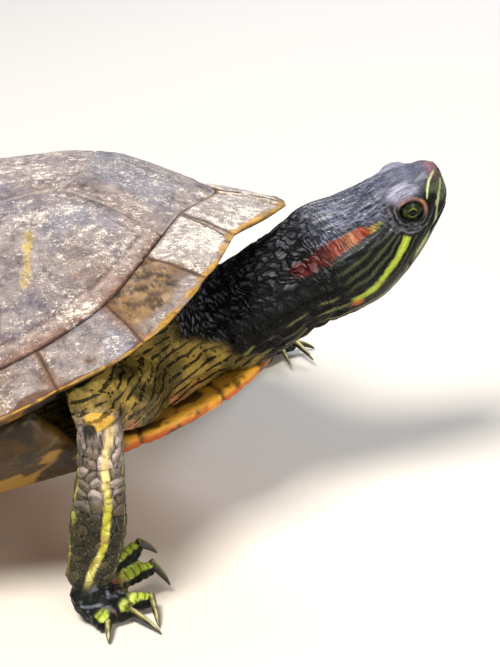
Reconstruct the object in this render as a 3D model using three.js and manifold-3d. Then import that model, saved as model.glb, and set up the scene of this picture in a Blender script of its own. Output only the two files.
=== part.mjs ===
// Red-eared slider turtle, an adult female standing with her neck stretched out.
// Millimetres. +X is forward, +Y is the turtle's left, +Z is up, and the floor is Z = 0.
// While it is drawn, X = 0 is the rear of the plastron and Y = 0 is the line of the neck.
// The shell is drawn level in its own frame, then raised nose-up and leaned to the left.
import * as THREE from 'three';
import { mergeVertices } from 'three/addons/utils/BufferGeometryUtils.js';
import Module from 'manifold-3d';

const wasm = await Module();
wasm.setup();

// ---- driving dimensions ----
const ORIGIN = [81.45, 6.1, 0];       // middle of the footprint, carried to the origin at the end
const GAP = 0.3;                      // clear line between neighbouring parts
const SHELL_PITCH = 14.5;             // degrees, nose up
const SHELL_ROLL = 4;                 // degrees, right side up
const SHELL_LIFT = 0.8;               // so that the rear of the plastron just meets the floor
const REST_X = -78;                   // shell station where the plastron meets the floor
const DOME_CENTRE_X = -5;             // station of the highest point of the dome
const DOME_HEIGHT = 81.6;             // top of the dome above the plastron plane
const DOME_FULLNESS = 2.1;            // 2 is a parabola, more is a squarer shoulder
const FRONT_FULLNESS = 0.5;           // extra fullness toward the front
const KEEL_HEIGHT = 0.9;              // low ridge along the vertebral scutes
const KEEL_WIDTH = 5;
const BOSS = [61, 3, 15, 17];         // swelling of the first vertebral: station, height, two spreads
const SCUTE_THICK = 3;                // bone and horn together
const SCUTE_CELLS = 4;                // facets along each side of a scute
const RIM_STEPS = 3;                  // facets along each marginal scute
const CERVICAL_REACH = 0.09;          // half width of the cervical scute, in marginals
const PLASTRON_THICK = 4.2;
const HEAD_AT = [206.8, -0.6, 101.2]; // tip of the snout
const HEAD_YAW = 4;
const HEAD_PITCH = 28.5;
const HEAD_ROLL = 12.5;               // top of the head leans to the turtle's right
const EYE_X = -12.3;
const EYE_Y = 7.4;
const EYE_Z = -3.9;
const EYE_RADIUS = 4.3;
const LID_RADIUS = 5.5;

// The edge of the carapace where marginal scutes meet: x, y, z on the left side, front to rear.
const RIM = [
  [102, 0, 45], [90.4, 22.6, 46.2], [81.6, 42.8, 42.4], [62.8, 58.3, 34.6], [39.2, 67.8, 31.4],
  [14, 73, 28.5], [-10, 75.5, 26.5], [-36, 75, 25.5], [-59, 67.5, 25], [-78, 54, 25],
  [-90, 37, 25], [-98, 18, 25.5], [-100, 0, 26]];
// The inner ends of the same seams, where the marginals meet the dome.
const SEAM = [
  [86.2, 0, 53.8], [76.8, 18, 54.8], [66.2, 33.6, 49.7], [54, 46.7, 44], [35.2, 58.4, 40.4],
  [12, 64, 38.3], [-10, 65.5, 37], [-33, 64.5, 36.5], [-53, 57, 36.5], [-68, 44.5, 37],
  [-78, 29, 37.5], [-83, 14, 38], [-84.5, 0, 38.5]];
// Half widths of the vertebral row where a costal seam or a vertebral seam meets it.
const ROW = [[67.5, 25], [47, 17.8], [28, 24], [11, 19.5], [-9, 25], [-27, 19.5], [-45, 23],
  [-62, 15], [-74, 34]];
const VERTEBRAL_BOW = [10, 3, 1, -1];  // forward bow of each vertebral seam at the midline
const COSTAL_ENDS = [4.55, 6.4, 8.35]; // rim stations where the costal seams arrive

// ---- colours ----
const HORN = 0x8d8790;
const HORN_PALE = 0xa79f96;
const YELLOW = 0xd79a35;
const SKIN = 0x2c2e29;
const SKIN_OLIVE = 0x6d6a3f;
const SKIN_LEG = 0x6f6d5f;
const EYE = 0x2c3312;
const CLAW = 0x4a4030;

// ---- small vector helpers ----
const add = (a, b, k = 1) => a.map((v, i) => v + b[i] * k);
const mix = (a, b, t) => a.map((v, i) => v + (b[i] - v) * t);
const dot = (a, b) => a.reduce((s, v, i) => s + v * b[i], 0);
const size = (a) => Math.hypot(...a);
const unit = (a) => a.map((v) => v / size(a));
const cross = (a, b) => [
  a[1] * b[2] - a[2] * b[1], a[2] * b[0] - a[0] * b[2], a[0] * b[1] - a[1] * b[0]];
const mirror = (p) => [p[0], -p[1], ...p.slice(2)];
const wave = (v, power) => Math.sign(v) * Math.abs(v) ** power;

// Read a table of [x, ...values] rows at x, with straight lines between the rows.
function table(rows, x) {
  const i = Math.max(1, rows.findIndex((row) => (rows[0][0] < rows[1][0] ? row[0] >= x : row[0] <= x)));
  const [a, b] = [rows[i - 1], rows[i]];
  const t = THREE.MathUtils.clamp((x - a[0]) / (b[0] - a[0]), 0, 1);
  return mix(a, b, t).slice(1);
}

// ---- building closed solids ----
function geometry(points, faces) {
  const g = new THREE.BufferGeometry();
  g.setAttribute('position', new THREE.Float32BufferAttribute(points.flat(), 3));
  g.setIndex(faces.flat());
  return g;
}

function toManifold(g) {
  const clean = g.clone();
  clean.deleteAttribute('normal');
  clean.deleteAttribute('uv');
  const merged = mergeVertices(clean, 1e-4);
  const mesh = new wasm.Mesh({
    numProp: 3,
    vertProperties: new Float32Array(merged.attributes.position.array),
    triVerts: new Uint32Array(merged.index.array),
  });
  return new wasm.Manifold(mesh);
}

function fromManifold(body) {
  const mesh = body.getMesh();
  const g = new THREE.BufferGeometry();
  g.setAttribute('position', new THREE.Float32BufferAttribute(mesh.vertProperties, 3));
  g.setIndex(new THREE.Uint32BufferAttribute(mesh.triVerts, 1));
  return g;
}

function facingOut(points, faces) {
  let volume = 0;
  for (const [a, b, c] of faces) volume += dot(points[a], cross(points[b], points[c]));
  return volume < 0 ? faces.map(([a, b, c]) => [a, c, b]) : faces;
}

// A closed body through a row of rings that all have the same number of points.
function loft(rings) {
  const n = rings[0].length;
  const points = rings.flat();
  const faces = [];
  for (let k = 0; k + 1 < rings.length; k += 1) {
    for (let i = 0; i < n; i += 1) {
      const j = (i + 1) % n;
      faces.push([k * n + i, k * n + j, (k + 1) * n + j]);
      faces.push([k * n + i, (k + 1) * n + j, (k + 1) * n + i]);
    }
  }
  for (const [ring, start, turn] of [[rings[0], 0, -1], [rings.at(-1), (rings.length - 1) * n, 1]]) {
    const middle = points.length;
    points.push(ring.reduce((s, p) => add(s, p, 1 / n), [0, 0, 0]));
    for (let i = 0; i < n; i += 1) {
      const j = (i + 1) % n;
      faces.push(turn > 0 ? [start + i, start + j, middle] : [start + j, start + i, middle]);
    }
  }
  return geometry(points, facingOut(points, faces));
}

// A limb-like body: each station is a middle point and two half sizes, side gives the wide way.
function tube(stations, side, sides = 12, grow = 0) {
  const rings = stations.map(([at, wide, deep, square = 1], k) => {
    const before = stations[Math.max(0, k - 1)][0];
    const after = stations[Math.min(stations.length - 1, k + 1)][0];
    const along = unit(add(after, before, -1));
    const u = unit(add(side, along, -dot(side, along)));
    const v = cross(along, u);
    const end = k === 0 ? -grow : (k === stations.length - 1 ? grow : 0);
    const middle = add(at, along, end);
    const ring = [];
    for (let i = 0; i < sides; i += 1) {
      const turn = (i / sides) * 2 * Math.PI;
      const p = add(middle, u, (wide + grow) * wave(Math.cos(turn), square));
      ring.push(add(p, v, (deep + grow) * wave(Math.sin(turn), square)));
    }
    return ring;
  });
  return loft(rings);
}

const largest = (body) => body.decompose().sort((a, b) => b.volume() - a.volume())[0];

// ---- the shell frame ----
const PITCH = THREE.MathUtils.degToRad(SHELL_PITCH);
const ROLL = THREE.MathUtils.degToRad(SHELL_ROLL);
function lift([x, y, z]) {
  const run = x - REST_X;
  const across = y * Math.cos(ROLL) + z * Math.sin(ROLL);
  const rise = z * Math.cos(ROLL) - y * Math.sin(ROLL);
  return [
    run * Math.cos(PITCH) - rise * Math.sin(PITCH), across,
    run * Math.sin(PITCH) + rise * Math.cos(PITCH) + SHELL_LIFT];
}

function ringCurve(rows) {
  const both = [...rows, ...rows.slice(1, -1).reverse().map(mirror)];
  const curve = new THREE.CatmullRomCurve3(both.map((p) => new THREE.Vector3(...p)), true, 'catmullrom', 0.5);
  return (station) => curve.getPoint((((station / 24) % 1) + 1) % 1).toArray();
}
const rimAt = ringCurve(RIM);
const seamAt = ringCurve(SEAM);
const bearing = ([x, y]) => Math.atan2(Math.abs(y), x - DOME_CENTRE_X);

// The rim station, 0 at the front and 12 at the rear, that lies along a bearing from the centre.
function stationAt(angle) {
  let low = 0;
  let high = 12;
  for (let i = 0; i < 30; i += 1) {
    const middle = (low + high) / 2;
    if (bearing(seamAt(middle)) < angle) low = middle;
    else high = middle;
  }
  return (low + high) / 2;
}

function dome(x, y) {
  const angle = bearing([x, y]);
  const edge = seamAt(stationAt(angle));
  const reach = Math.hypot(x - DOME_CENTRE_X, y) / Math.hypot(edge[0] - DOME_CENTRE_X, edge[1]);
  const full = DOME_FULLNESS + FRONT_FULLNESS * Math.max(0, Math.cos(angle)) ** 2;
  const keel = KEEL_HEIGHT * Math.exp(-((y / KEEL_WIDTH) ** 2)) * Math.max(0, 1 - reach ** 4);
  const [bossX, bossHeight, long, broad] = BOSS;
  const boss = bossHeight * Math.exp(-(((x - bossX) / long) ** 2) - (y / broad) ** 2);
  const swelling = boss * Math.max(0, 1 - reach ** 6);
  return edge[2] + (DOME_HEIGHT - edge[2]) * (1 - reach ** full) + keel + swelling;
}

function domeNormal(x, y) {
  const e = 0.5;
  return unit([dome(x - e, y) - dome(x + e, y), dome(x, y - e) - dome(x, y + e), 2 * e]);
}

const under = ([x, y], depth) => add([x, y, dome(x, y)], domeNormal(x, y), -depth);

// ---- scutes of the dome ----
// Evenly spaced points along a line; a line with one corner keeps that corner.
function resample(line, count) {
  if (line.length === 3) {
    return [...resample(line.slice(0, 2), count / 2), ...resample(line.slice(1), count / 2).slice(1)];
  }
  const reach = [0];
  for (let i = 1; i < line.length; i += 1) reach.push(reach[i - 1] + size(add(line[i], line[i - 1], -1)));
  const out = [];
  for (let k = 0; k <= count; k += 1) {
    const goal = (reach.at(-1) * k) / count;
    const i = Math.max(1, reach.findIndex((r) => r >= goal - 1e-9));
    out.push(mix(line[i - 1], line[i], (goal - reach[i - 1]) / (reach[i] - reach[i - 1])));
  }
  return out;
}

// Draw a closed outline in by the same amount all round.
function inset(loop, amount) {
  let area = 0;
  loop.forEach((p, i) => {
    const q = loop[(i + 1) % loop.length];
    area += p[0] * q[1] - q[0] * p[1];
  });
  const turn = Math.sign(area);
  return loop.map((p, i) => {
    const before = unit(add(p, loop.at(i - 1), -1));
    const after = unit(add(loop[(i + 1) % loop.length], p, -1));
    const normal = unit([-(before[1] + after[1]) * turn, (before[0] + after[0]) * turn]);
    const lean = Math.max(0.5, dot(normal, [-after[1] * turn, after[0] * turn]));
    return add(p, normal, amount / lean);
  });
}

// A scute between four edges drawn in plan: front and rear run inner to outer, the others run aft.
function scute(front, rear, inner, outer, n = SCUTE_CELLS) {
  const [f, r, a, b] = [front, rear, inner, outer].map((line) => resample(line, n));
  const loop = [...f.slice(0, n), ...b.slice(0, n), ...r.slice(1).reverse(), ...a.slice(1).reverse()];
  const drawn = inset(loop, GAP / 2);
  const edge = (start, count) => Array.from({ length: count + 1 }, (_, i) => drawn[(start + i) % (4 * n)]);
  const [f2, b2, r2, a2] = [edge(0, n), edge(n, n), edge(2 * n, n).reverse(), edge(3 * n, n).reverse()];
  const grid = [];
  for (let j = 0; j <= n; j += 1) {
    for (let i = 0; i <= n; i += 1) {
      const [u, v] = [i / n, j / n];
      const across = add(mix(f2[i], r2[i], v), mix(a2[j], b2[j], u));
      grid.push(add(across, mix(mix(f2[0], f2[n], u), mix(r2[0], r2[n], u), v), -1));
    }
  }
  const top = grid.map((p) => lift(under(p, 0)));
  const low = grid.map((p) => lift(under(p, SCUTE_THICK)));
  const points = [...top, ...low];
  const half = top.length;
  const faces = [];
  const at = (i, j) => j * (n + 1) + i;
  for (let j = 0; j < n; j += 1) {
    for (let i = 0; i < n; i += 1) {
      const quad = [at(i, j), at(i + 1, j), at(i + 1, j + 1), at(i, j + 1)];
      faces.push([quad[0], quad[1], quad[2]], [quad[0], quad[2], quad[3]]);
      faces.push([quad[2] + half, quad[1] + half, quad[0] + half]);
      faces.push([quad[3] + half, quad[2] + half, quad[0] + half]);
    }
  }
  const border = [];
  for (let i = 0; i < n; i += 1) border.push(at(i, 0));
  for (let j = 0; j < n; j += 1) border.push(at(n, j));
  for (let i = n; i > 0; i -= 1) border.push(at(i, n));
  for (let j = n; j > 0; j -= 1) border.push(at(0, j));
  border.forEach((p, i) => {
    const q = border[(i + 1) % border.length];
    faces.push([p, p + half, q + half], [p, q + half, q]);
  });
  return geometry(points, facingOut(points, faces));
}

const plan = (p) => p.slice(0, 2);
function seamRun(from, to, steps = 8) {
  const run = [];
  for (let i = 0; i <= steps; i += 1) run.push(plan(seamAt(from + ((to - from) * i) / steps)));
  return run;
}
const shoulder = stationAt(bearing(ROW[0]));
const hip = stationAt(bearing(ROW[8]));

function vertebralSeam(k) {
  if (k === 0) return seamRun(-shoulder, shoulder, 12);
  if (k === 5) return seamRun(24 - hip, hip, 10);
  const [x, y] = ROW[[0, 1, 3, 5, 7][k]];
  const bow = VERTEBRAL_BOW[k - 1];
  return [-1, -0.6, 0, 0.6, 1].map((t) => [x + bow * (1 - t * t), y * t]);
}

function vertebral(k) {
  const reach = [[0, 1], [1, 2, 3], [3, 4, 5], [5, 6, 7], [7, 8]][k];
  const ends = { 0: plan(seamAt(shoulder)), 8: plan(seamAt(hip)) };
  const outer = reach.map((i) => ends[i] ?? ROW[i]);
  const cells = k === 0 ? 2 * SCUTE_CELLS : SCUTE_CELLS;
  return scute(vertebralSeam(k), vertebralSeam(k + 1), outer.map(mirror), outer, cells);
}

function costal(k, side) {
  const seams = [shoulder, ...COSTAL_ENDS, hip];
  const inner = [[0, 1, 2], [2, 3, 4], [4, 5, 6], [6, 7, 8]][k].map((i) => ROW[i]);
  if (k === 0) inner[0] = plan(seamAt(shoulder));
  if (k === 3) inner[2] = plan(seamAt(hip));
  const first = k === 0 ? shoulder + 1.1 : seams[k];
  const last = k === 3 ? hip - 1 : seams[k + 1];
  const front = k === 0 ? seamRun(shoulder, first) : [inner[0], plan(seamAt(first))];
  const rear = k === 3 ? seamRun(hip, last) : [inner[2], plan(seamAt(last))];
  const edges = [front, rear, inner, seamRun(first, last)];
  return scute(...edges.map((line) => (side > 0 ? line : line.map(mirror))));
}

// ---- the rim of marginal scutes ----
function rimSection(station) {
  const seam = seamAt(station);
  const rim = rimAt(station);
  const out = unit([rim[0] - seam[0], rim[1] - seam[1], 0]);
  const near = Math.abs(station - Math.round(station));
  const rear = Math.min(station, 24 - station) / 12;
  const notch = (0.5 + 1.3 * rear) * Math.max(0, 1 - near / 0.2);
  const bridge = Math.min(station, 24 - station);
  const deep = bridge > 4 && bridge < 8 ? 9.5 : 7.5;
  const top = add(seam, out, GAP / 2);
  const edge = add(rim, out, -notch);
  const inward = domeNormal(seam[0], seam[1]);
  return [
    top,
    add(mix(top, edge, 0.5), [0, 0, 0.5]),
    add(add(edge, out, -1.3), [0, 0, 1]),
    edge,
    add(add(edge, out, -1), [0, 0, -2.3]),
    add(mix(top, edge, 0.15), [0, 0, -deep]),
    add(top, inward, -5)].map(lift);
}

function rimPiece(from, to, steps) {
  const sections = [];
  for (let i = 0; i <= steps; i += 1) sections.push(rimSection(from + ((to - from) * i) / steps));
  return loft(sections);
}

// ---- the plastron ----
const LOBE = [[88, 5], [86, 11], [82, 18], [77, 24.5], [73.5, 27.6], [66, 32.5], [55, 38], [42.3, 41.8]];
const AFT_LOBE = [[-38, 41], [-50, 37.5], [-62, 33], [-72, 26.5], [-79, 19], [-84, 11]];
const REACH = [[42, 0.25], [37, 0.7], [30, 1], [-26, 1], [-33, 0.7], [-37.7, 0.25]];

const floorRise = (x) => Math.max(0, (REST_X - x) * Math.tan(PITCH));
const frontRise = (x) => 3.2 * Math.max(0, (x - 50) / 38) ** 1.6;

function lobeRing(x, half, extra = 0) {
  const low = floorRise(x) + frontRise(x) - extra;
  const thick = PLASTRON_THICK - 1.2 * Math.max(0, (x - 60) / 30) + 2 * extra;
  const corner = 1.4;
  const side = [
    [half - corner, low], [half, low + corner], [half, low + thick - 0.8], [half - 2, low + thick]];
  const other = side.map(([y, z]) => [-y, z]).reverse();
  return [...side, ...other].map(([y, z]) => lift([x, y, z]));
}

function bridgeRing(x, reach) {
  const station = x > 0 ? 4 + (39.9 - x) / 25.4 : 5 + (14 - x) / 24.5;
  const [seam, rim] = [seamAt(station), rimAt(station)];
  const shelf = add(mix(seam, rim, 0.15), [0, 0, -9.5 - GAP * 1.4]);
  const brink = add(rim, [0, -1, -2.3 - GAP * 1.4]);
  const outside = [[42, 0], [50, 2.6], [59, 9], [67, 17], [brink[1] - 1.5, brink[2] - 1.2]];
  const inside = [[shelf[1] + 1, shelf[2] - 0.2], [61, 17], [54, 10.5], [46, 6], [38, PLASTRON_THICK]];
  const cut = (line, t) => {
    const at = t * (line.length - 1);
    const i = Math.min(line.length - 2, Math.floor(at));
    return mix(line[i], line[i + 1], at - i);
  };
  const side = [0, 0.25, 0.5, 0.75, 1].map((t) => cut(outside, t * reach));
  const back = [0, 0.25, 0.5, 0.75, 1].map((t) => cut(inside, 1 - reach + t * reach));
  const right = [...side, ...back];
  const left = right.map(([y, z]) => [-y, z]).reverse();
  return [...right, ...left].map(([y, z]) => lift([x, y, z]));
}

// ---- the trunk, filling the shell and closing it front and rear with skin ----
function trunk(grow) {
  const turns = 32;
  const rings = [[], [], [], [], [], [], [], []];
  for (let i = 0; i < turns; i += 1) {
    const angle = (i / turns) * 2 * Math.PI;
    const way = [Math.cos(angle), Math.sin(angle)];
    const station = stationAt(Math.abs(Math.atan2(way[1], way[0])));
    const edge = seamAt(station);
    const seamReach = Math.hypot(edge[0] - DOME_CENTRE_X, edge[1]);
    const at = (reach) => [DOME_CENTRE_X + way[0] * reach, way[1] * reach];
    const depth = SCUTE_THICK + GAP + 0.6 - grow;
    [0.3, 0.62, 0.86, 0.978].forEach((t, k) => rings[k].push(under(at(seamReach * t), depth)));
    const bridge = station > 3.9 && station < 8.1;
    const lobe = outlineReach(way) - 3.5;
    const low = PLASTRON_THICK + GAP + 0.1;
    const collar = under(at(seamReach * 0.972), 6.3 - grow);
    rings[4].push(collar);
    const waist = bridge ? Math.min(seamReach, 52 / Math.max(0.3, Math.abs(way[1]))) : seamReach * 0.93;
    rings[5].push([...at(waist + grow), collar[2] * 0.62]);
    const sill = bridge ? Math.min(lobe, 43 / Math.max(0.3, Math.abs(way[1]))) : lobe;
    rings[6].push([...at(sill + grow), low + 6]);
    const rise = floorRise(at(sill)[0]) + frontRise(at(sill)[0]);
    rings[7].push([...at(sill - 5 + grow), low + rise - grow]);
  }
  return loft(rings.map((ring) => ring.map(lift)));
}

// Distance from the middle of the shell to the plastron edge along a bearing.
function outlineReach(way) {
  const rows = [...LOBE, [0, 43], ...AFT_LOBE, [-84.1, 0]];
  let reach = 0;
  for (let r = 20; r < 100; r += 0.5) {
    const x = DOME_CENTRE_X + way[0] * r;
    if (x > 88 || x < -84) break;
    if (Math.abs(way[1]) * r <= table(rows, x)[0]) reach = r;
  }
  return reach;
}

// ---- head and neck ----
const turned = new THREE.Matrix4().makeRotationFromEuler(new THREE.Euler(
  THREE.MathUtils.degToRad(HEAD_ROLL), -THREE.MathUtils.degToRad(HEAD_PITCH),
  THREE.MathUtils.degToRad(HEAD_YAW), 'ZYX'));
const place = (p) => add(new THREE.Vector3(...p).applyMatrix4(turned).toArray(), HEAD_AT);

// Stations back from the snout: x, top, bottom, half width, squareness.
const HEAD = [
  [-0.2, -0.8, -6.8, 2.4, 0.9], [-1.3, 0.2, -9.6, 4.2, 0.9], [-3, 0.8, -13, 6.6, 0.86],
  [-6, 1.5, -15.2, 8.8, 0.84], [-10, 2.3, -17.4, 11, 0.82], [-15, 2.7, -20.4, 13.2, 0.84],
  [-20, 2.8, -22.8, 14.7, 0.86], [-26, 3, -25.4, 16, 0.9], [-32, 4, -27.6, 16.7, 0.95],
  [-38, 4.8, -27.8, 16.8, 1]];
const HEAD_SIDES = 18;

function headRing([x, top, bottom, half, square], grow = 0) {
  const ring = [];
  const [middle, tall] = [(top + bottom) / 2, (top - bottom) / 2 + grow];
  for (let i = 0; i < HEAD_SIDES; i += 1) {
    const turn = (i / HEAD_SIDES) * 2 * Math.PI;
    const taper = Math.sin(turn) < 0 ? 1 - 0.16 * Math.sin(turn) ** 2 : 1;
    const y = (half + grow) * wave(Math.cos(turn), square) * taper;
    ring.push(place([x, y, middle + tall * wave(Math.sin(turn), square)]));
  }
  return ring;
}

function ball(at, radius, stretch = [1, 1, 1], detail = [10, 7]) {
  const g = new THREE.SphereGeometry(radius, ...detail);
  const m = new THREE.Matrix4().makeScale(...stretch);
  g.applyMatrix4(m);
  g.translate(...at);
  return g;
}

function inHead(g) {
  g.applyMatrix4(turned);
  g.translate(...HEAD_AT);
  return toManifold(g);
}

// The side view of the lower jaw, cut out of the head below the mouth line.
const MOUTH = [[4, -9], [-3, -9.6], [-9, -10.4], [-14, -12], [-18, -14], [-19.5, -15.4]];
function jawBlock(inset_) {
  const line = MOUTH.map(([x, z]) => [x, z - inset_]);
  const side = [...line, [-21 + inset_, -40], [4, -40]];
  const rings = [-20, 20].map((y) => side.map(([x, z]) => place([x, y, z])));
  return toManifold(loft(rings));
}

const skull = toManifold(loft(HEAD.map((row) => headRing(row))));
let headBody = skull;
for (const side of [-1, 1]) {
  headBody = headBody.add(inHead(ball([EYE_X, side * (EYE_Y - 0.4), EYE_Z], LID_RADIUS, [1.12, 1, 1])));
}
const eyes = [];
for (const side of [-1, 1]) {
  const centre = [EYE_X, side * EYE_Y, EYE_Z];
  headBody = headBody.subtract(inHead(ball(centre, EYE_RADIUS + GAP)));
  headBody = headBody.subtract(inHead(ball([EYE_X, side * 12.8, EYE_Z], 3.4, [1.05, 1, 0.76])));
  eyes.push(inHead(ball(centre, EYE_RADIUS)));
}
headBody = largest(headBody.subtract(jawBlock(0)));
const jawBody = largest(skull.intersect(jawBlock(GAP)));

const HEAD_ACROSS = unit(add(place([0, 1, 0]), place([0, 0, 0]), -1));
function neckBody() {
  const across = unit([0.02, 1, 0.05]);
  const path = [
    [[126, -0.6, 48], 9, 8], [[134, -0.9, 49], 15, 12.4], [[145, -1.2, 54.4], 18.6, 15],
    [[156, -2, 61.8], 17.4, 14.6], [[165.5, -2.8, 68.2], 17, 14.8]];
  const rings = path.map(([at, wide, deep], k) => {
    const along = unit(add(path[Math.min(4, k + 1)][0], path[Math.max(0, k - 1)][0], -1));
    const u = unit(add(across, along, -dot(across, along)));
    const v = cross(along, u);
    const ring = [];
    for (let i = 0; i < HEAD_SIDES; i += 1) {
      const turn = (i / HEAD_SIDES) * 2 * Math.PI;
      ring.push(add(add(at, u, wide * Math.cos(turn)), v, deep * Math.sin(turn)));
    }
    return ring;
  });
  const back = add(place([-GAP, 0, 0]), place([0, 0, 0]), -1);
  rings.push(headRing(HEAD.at(-1)).map((p) => add(p, back)));
  return toManifold(loft(rings));
}

// ---- legs ----
// Every leg is listed as a left leg; right legs are mirrored on the way in.
function leg(name, spec) {
  const side = spec.side;
  const put = (p) => (side > 0 ? p : mirror(p));
  const stations = (rows) => rows.map(([at, ...rest]) => [put(at), ...rest]);
  const wide = put(spec.wide);
  const lowerOf = (grow) => toManifold(tube(stations(spec.lower), wide, 10, grow));
  const lower = lowerOf(0);
  const upper = toManifold(tube(stations(spec.upper), put(spec.upperWide), 10, 0));
  let foot = toManifold(tube(stations(spec.palm), put(spec.palmWide), 8, 0));
  const claws = [];
  spec.toes.forEach((toe) => {
    foot = foot.add(toManifold(tube(stations(toe.bones), [0, 0, 1], 6, 0)));
  });
  if (spec.web) foot = foot.add(webBody(spec.web.map(put), spec.webThick));
  spec.toes.forEach((toe) => {
    const rows = stations(toe.claw);
    foot = foot.subtract(toManifold(tube(rows, [0, 0, 1], 5, GAP)));
    claws.push(toManifold(tube(rows, [0, 0, 1], 5, 0)));
  });
  return { name, lower, upper, foot, claws, lowerGrown: lowerOf(GAP) };
}

// A thin sheet of skin between the toes: a fan of points, each lifted and dropped by half its thickness.
function webBody(outline, thick) {
  const rings = [-1, 1].map((way) => outline.map(([x, y, z]) => [x, y, z + (way * thick) / 2]));
  return toManifold(loft(rings));
}

const claw = (from, to, droop = 1.2, radius = 1.35) => {
  const back = unit(add(from, to, -1));
  return [
    [add(from, back, 1.1), radius, radius * 0.9],
    [add(mix(from, to, 0.55), [0, 0, droop]), radius * 0.68, radius * 0.6],
    [to, 0.35, 0.32]];
};
const toe = (root, knuckle, tip, radius = 2.3, droop = 1.2) => {
  const ahead = unit(add(knuckle, root, -1));
  return {
    bones: [
      [root, radius * 0.85, radius * 0.9], [knuckle, radius * 0.98, radius * 0.94],
      [add(knuckle, ahead, radius * 0.6), radius * 0.6, radius * 0.55]],
    claw: claw(add(knuckle, ahead, radius * 0.6), tip, droop),
  };
};

const FRONT_RIGHT = {
  side: -1,
  upper: [
    [[111, 28, 46], 5, 5], [[112.4, 42, 51], 8.4, 9], [[113.4, 54, 55], 8, 8.2],
    [[114, 63, 56.6], 6.8, 6.8], [[114, 69.4, 56.6], 5, 4.4]],
  upperWide: [1, 0, 0],
  lower: [
    [[113.8, 66, 61], 4, 3.4], [[114, 66.6, 58], 6, 5], [[114, 67.4, 50], 6.2, 5.4],
    [[113.3, 67.8, 39], 6.3, 5.3], [[112.8, 68, 28], 6.7, 5], [[110, 68, 17], 6.4, 4.6],
    [[107.2, 68.2, 10.4], 6, 4.4]],
  wide: [1, 0.1, 0],
  palm: [
    [[106.8, 68, 9.8], 5.8, 4.6], [[108.2, 68, 6.2], 6.4, 5.6], [[112, 68.2, 4.2], 7.4, 5],
    [[116.4, 67.6, 3.2], 6.6, 3.3]],
  palmWide: [-0.2, 1, 0],
  toes: [
    toe([109.5, 64.5, 9.6], [120.6, 56.4, 14], [125.4, 51.4, 9.3]),
    toe([112, 65, 6.4], [123.6, 59.2, 9], [128.7, 57.5, 2.6]),
    toe([114, 67, 4], [122.8, 67, 3.6], [126.2, 76, 0.9], 2.5),
    toe([112, 69.5, 3.4], [118, 71.4, 2.9], [127, 79.2, 0.7], 2.5),
    toe([107.6, 70, 3.6], [112.2, 76, 2.6], [113.5, 83, 0.7], 2.4)],
};

const FRONT_LEFT = {
  side: 1,
  upper: [
    [[112, 26, 38], 5, 5], [[116, 42, 43], 8.4, 9], [[120.5, 55, 44], 8.2, 8],
    [[125, 66.4, 43], 7, 7], [[127.4, 72.6, 41], 5, 4.8]],
  upperWide: [0.4, -0.2, 1],
  lower: [
    [[124, 68.4, 47.6], 4, 3.6], [[125.4, 70, 44.6], 6, 5], [[130, 75, 36], 6.4, 5.5],
    [[135, 80.5, 28], 6.4, 5.3], [[140, 86, 20], 6.3, 5], [[144.4, 91, 13], 6.1, 4.6],
    [[146.4, 93.4, 9.8], 6, 4.4]],
  wide: [1, -0.6, 0],
  palm: [
    [[146.8, 93.6, 9.2], 5.8, 4.6], [[148.6, 95.6, 6], 6.6, 5.6], [[152.6, 98.6, 4.2], 7.6, 4.7],
    [[157, 101.4, 3.2], 6.8, 3.3]],
  palmWide: [1, -0.8, 0],
  toes: [
    toe([152, 95.5, 4.6], [160.6, 99, 6.4], [165.4, 89.4, 3], 2.3, 0.8),
    toe([154, 98, 4.4], [166, 101.8, 6], [173.4, 93, 2.8], 2.3, 0.8),
    toe([156, 101, 3.6], [167, 106.6, 3.4], [174.4, 108, 0.8], 2.5),
    toe([154, 103, 3.4], [163, 112, 2.9], [168.6, 117, 0.7], 2.5),
    toe([149.4, 101.4, 3.6], [154.6, 112, 2.6], [157.4, 118.4, 0.7], 2.4)],
};

const hind = (side, shift) => {
  const at = (x, y, z) => [x + shift, y, z > 15 ? z - 1.8 * side : z - 0.15];
  return {
    side,
    upper: [
      [at(20, 24, 24), 5, 5], [at(24, 38, 24), 9, 9], [at(29, 51, 22.5), 9, 9],
      [at(33, 61, 21), 8, 7.6], [at(34.6, 67, 20.4), 5, 5]],
    upperWide: [0.5, -0.4, 1],
    lower: [
      [at(35.4, 64.6, 23.6), 4, 4], [at(34, 66, 22), 7, 6.4], [at(27.6, 69, 17.6), 7.6, 7],
      [at(19, 72, 13), 7.2, 6.2], [at(12, 74, 9.6), 6.4, 5.4]],
    wide: [0.3, 0.2, 1],
    palm: [
      [at(11, 74.4, 8.8), 6, 5.2], [at(9, 76.6, 6), 7, 5.8], [at(11, 82, 4.4), 8.4, 4.8],
      [at(14.4, 88.4, 3.2), 8.8, 3.4]],
    palmWide: [1, -0.4, 0],
    toes: [
      toe(at(18, 85, 3.2), at(26.4, 91.4, 3), at(31.6, 94.8, 0.9)),
      toe(at(16.4, 88, 3.2), at(23, 97.8, 3), at(26.6, 103, 0.9)),
      toe(at(13, 89, 3.2), at(16.8, 100.4, 3), at(18.8, 106.2, 0.9)),
      toe(at(9.6, 88, 3.2), at(9.8, 98.8, 2.8), at(10, 104.4, 0.9))],
    web: [at(19.6, 84, 2.2), at(25.4, 90.4, 2.2), at(22, 95.6, 2.2), at(16.4, 97.6, 2.2),
      at(9.8, 96.8, 2.2), at(5.4, 89, 2.2), at(8, 83, 2.2)],
    webThick: 1.6,
  };
};

// ---- put the animal together ----
const turtle = new THREE.Group();
function place3(name, g, color, roughness) {
  const clean = g.index ? g.toNonIndexed() : g;
  clean.deleteAttribute('uv');
  clean.computeVertexNormals();
  const material = new THREE.MeshStandardMaterial({ color, roughness, metalness: 0 });
  const mesh = new THREE.Mesh(clean, material);
  mesh.name = name;
  turtle.add(mesh);
}

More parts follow.
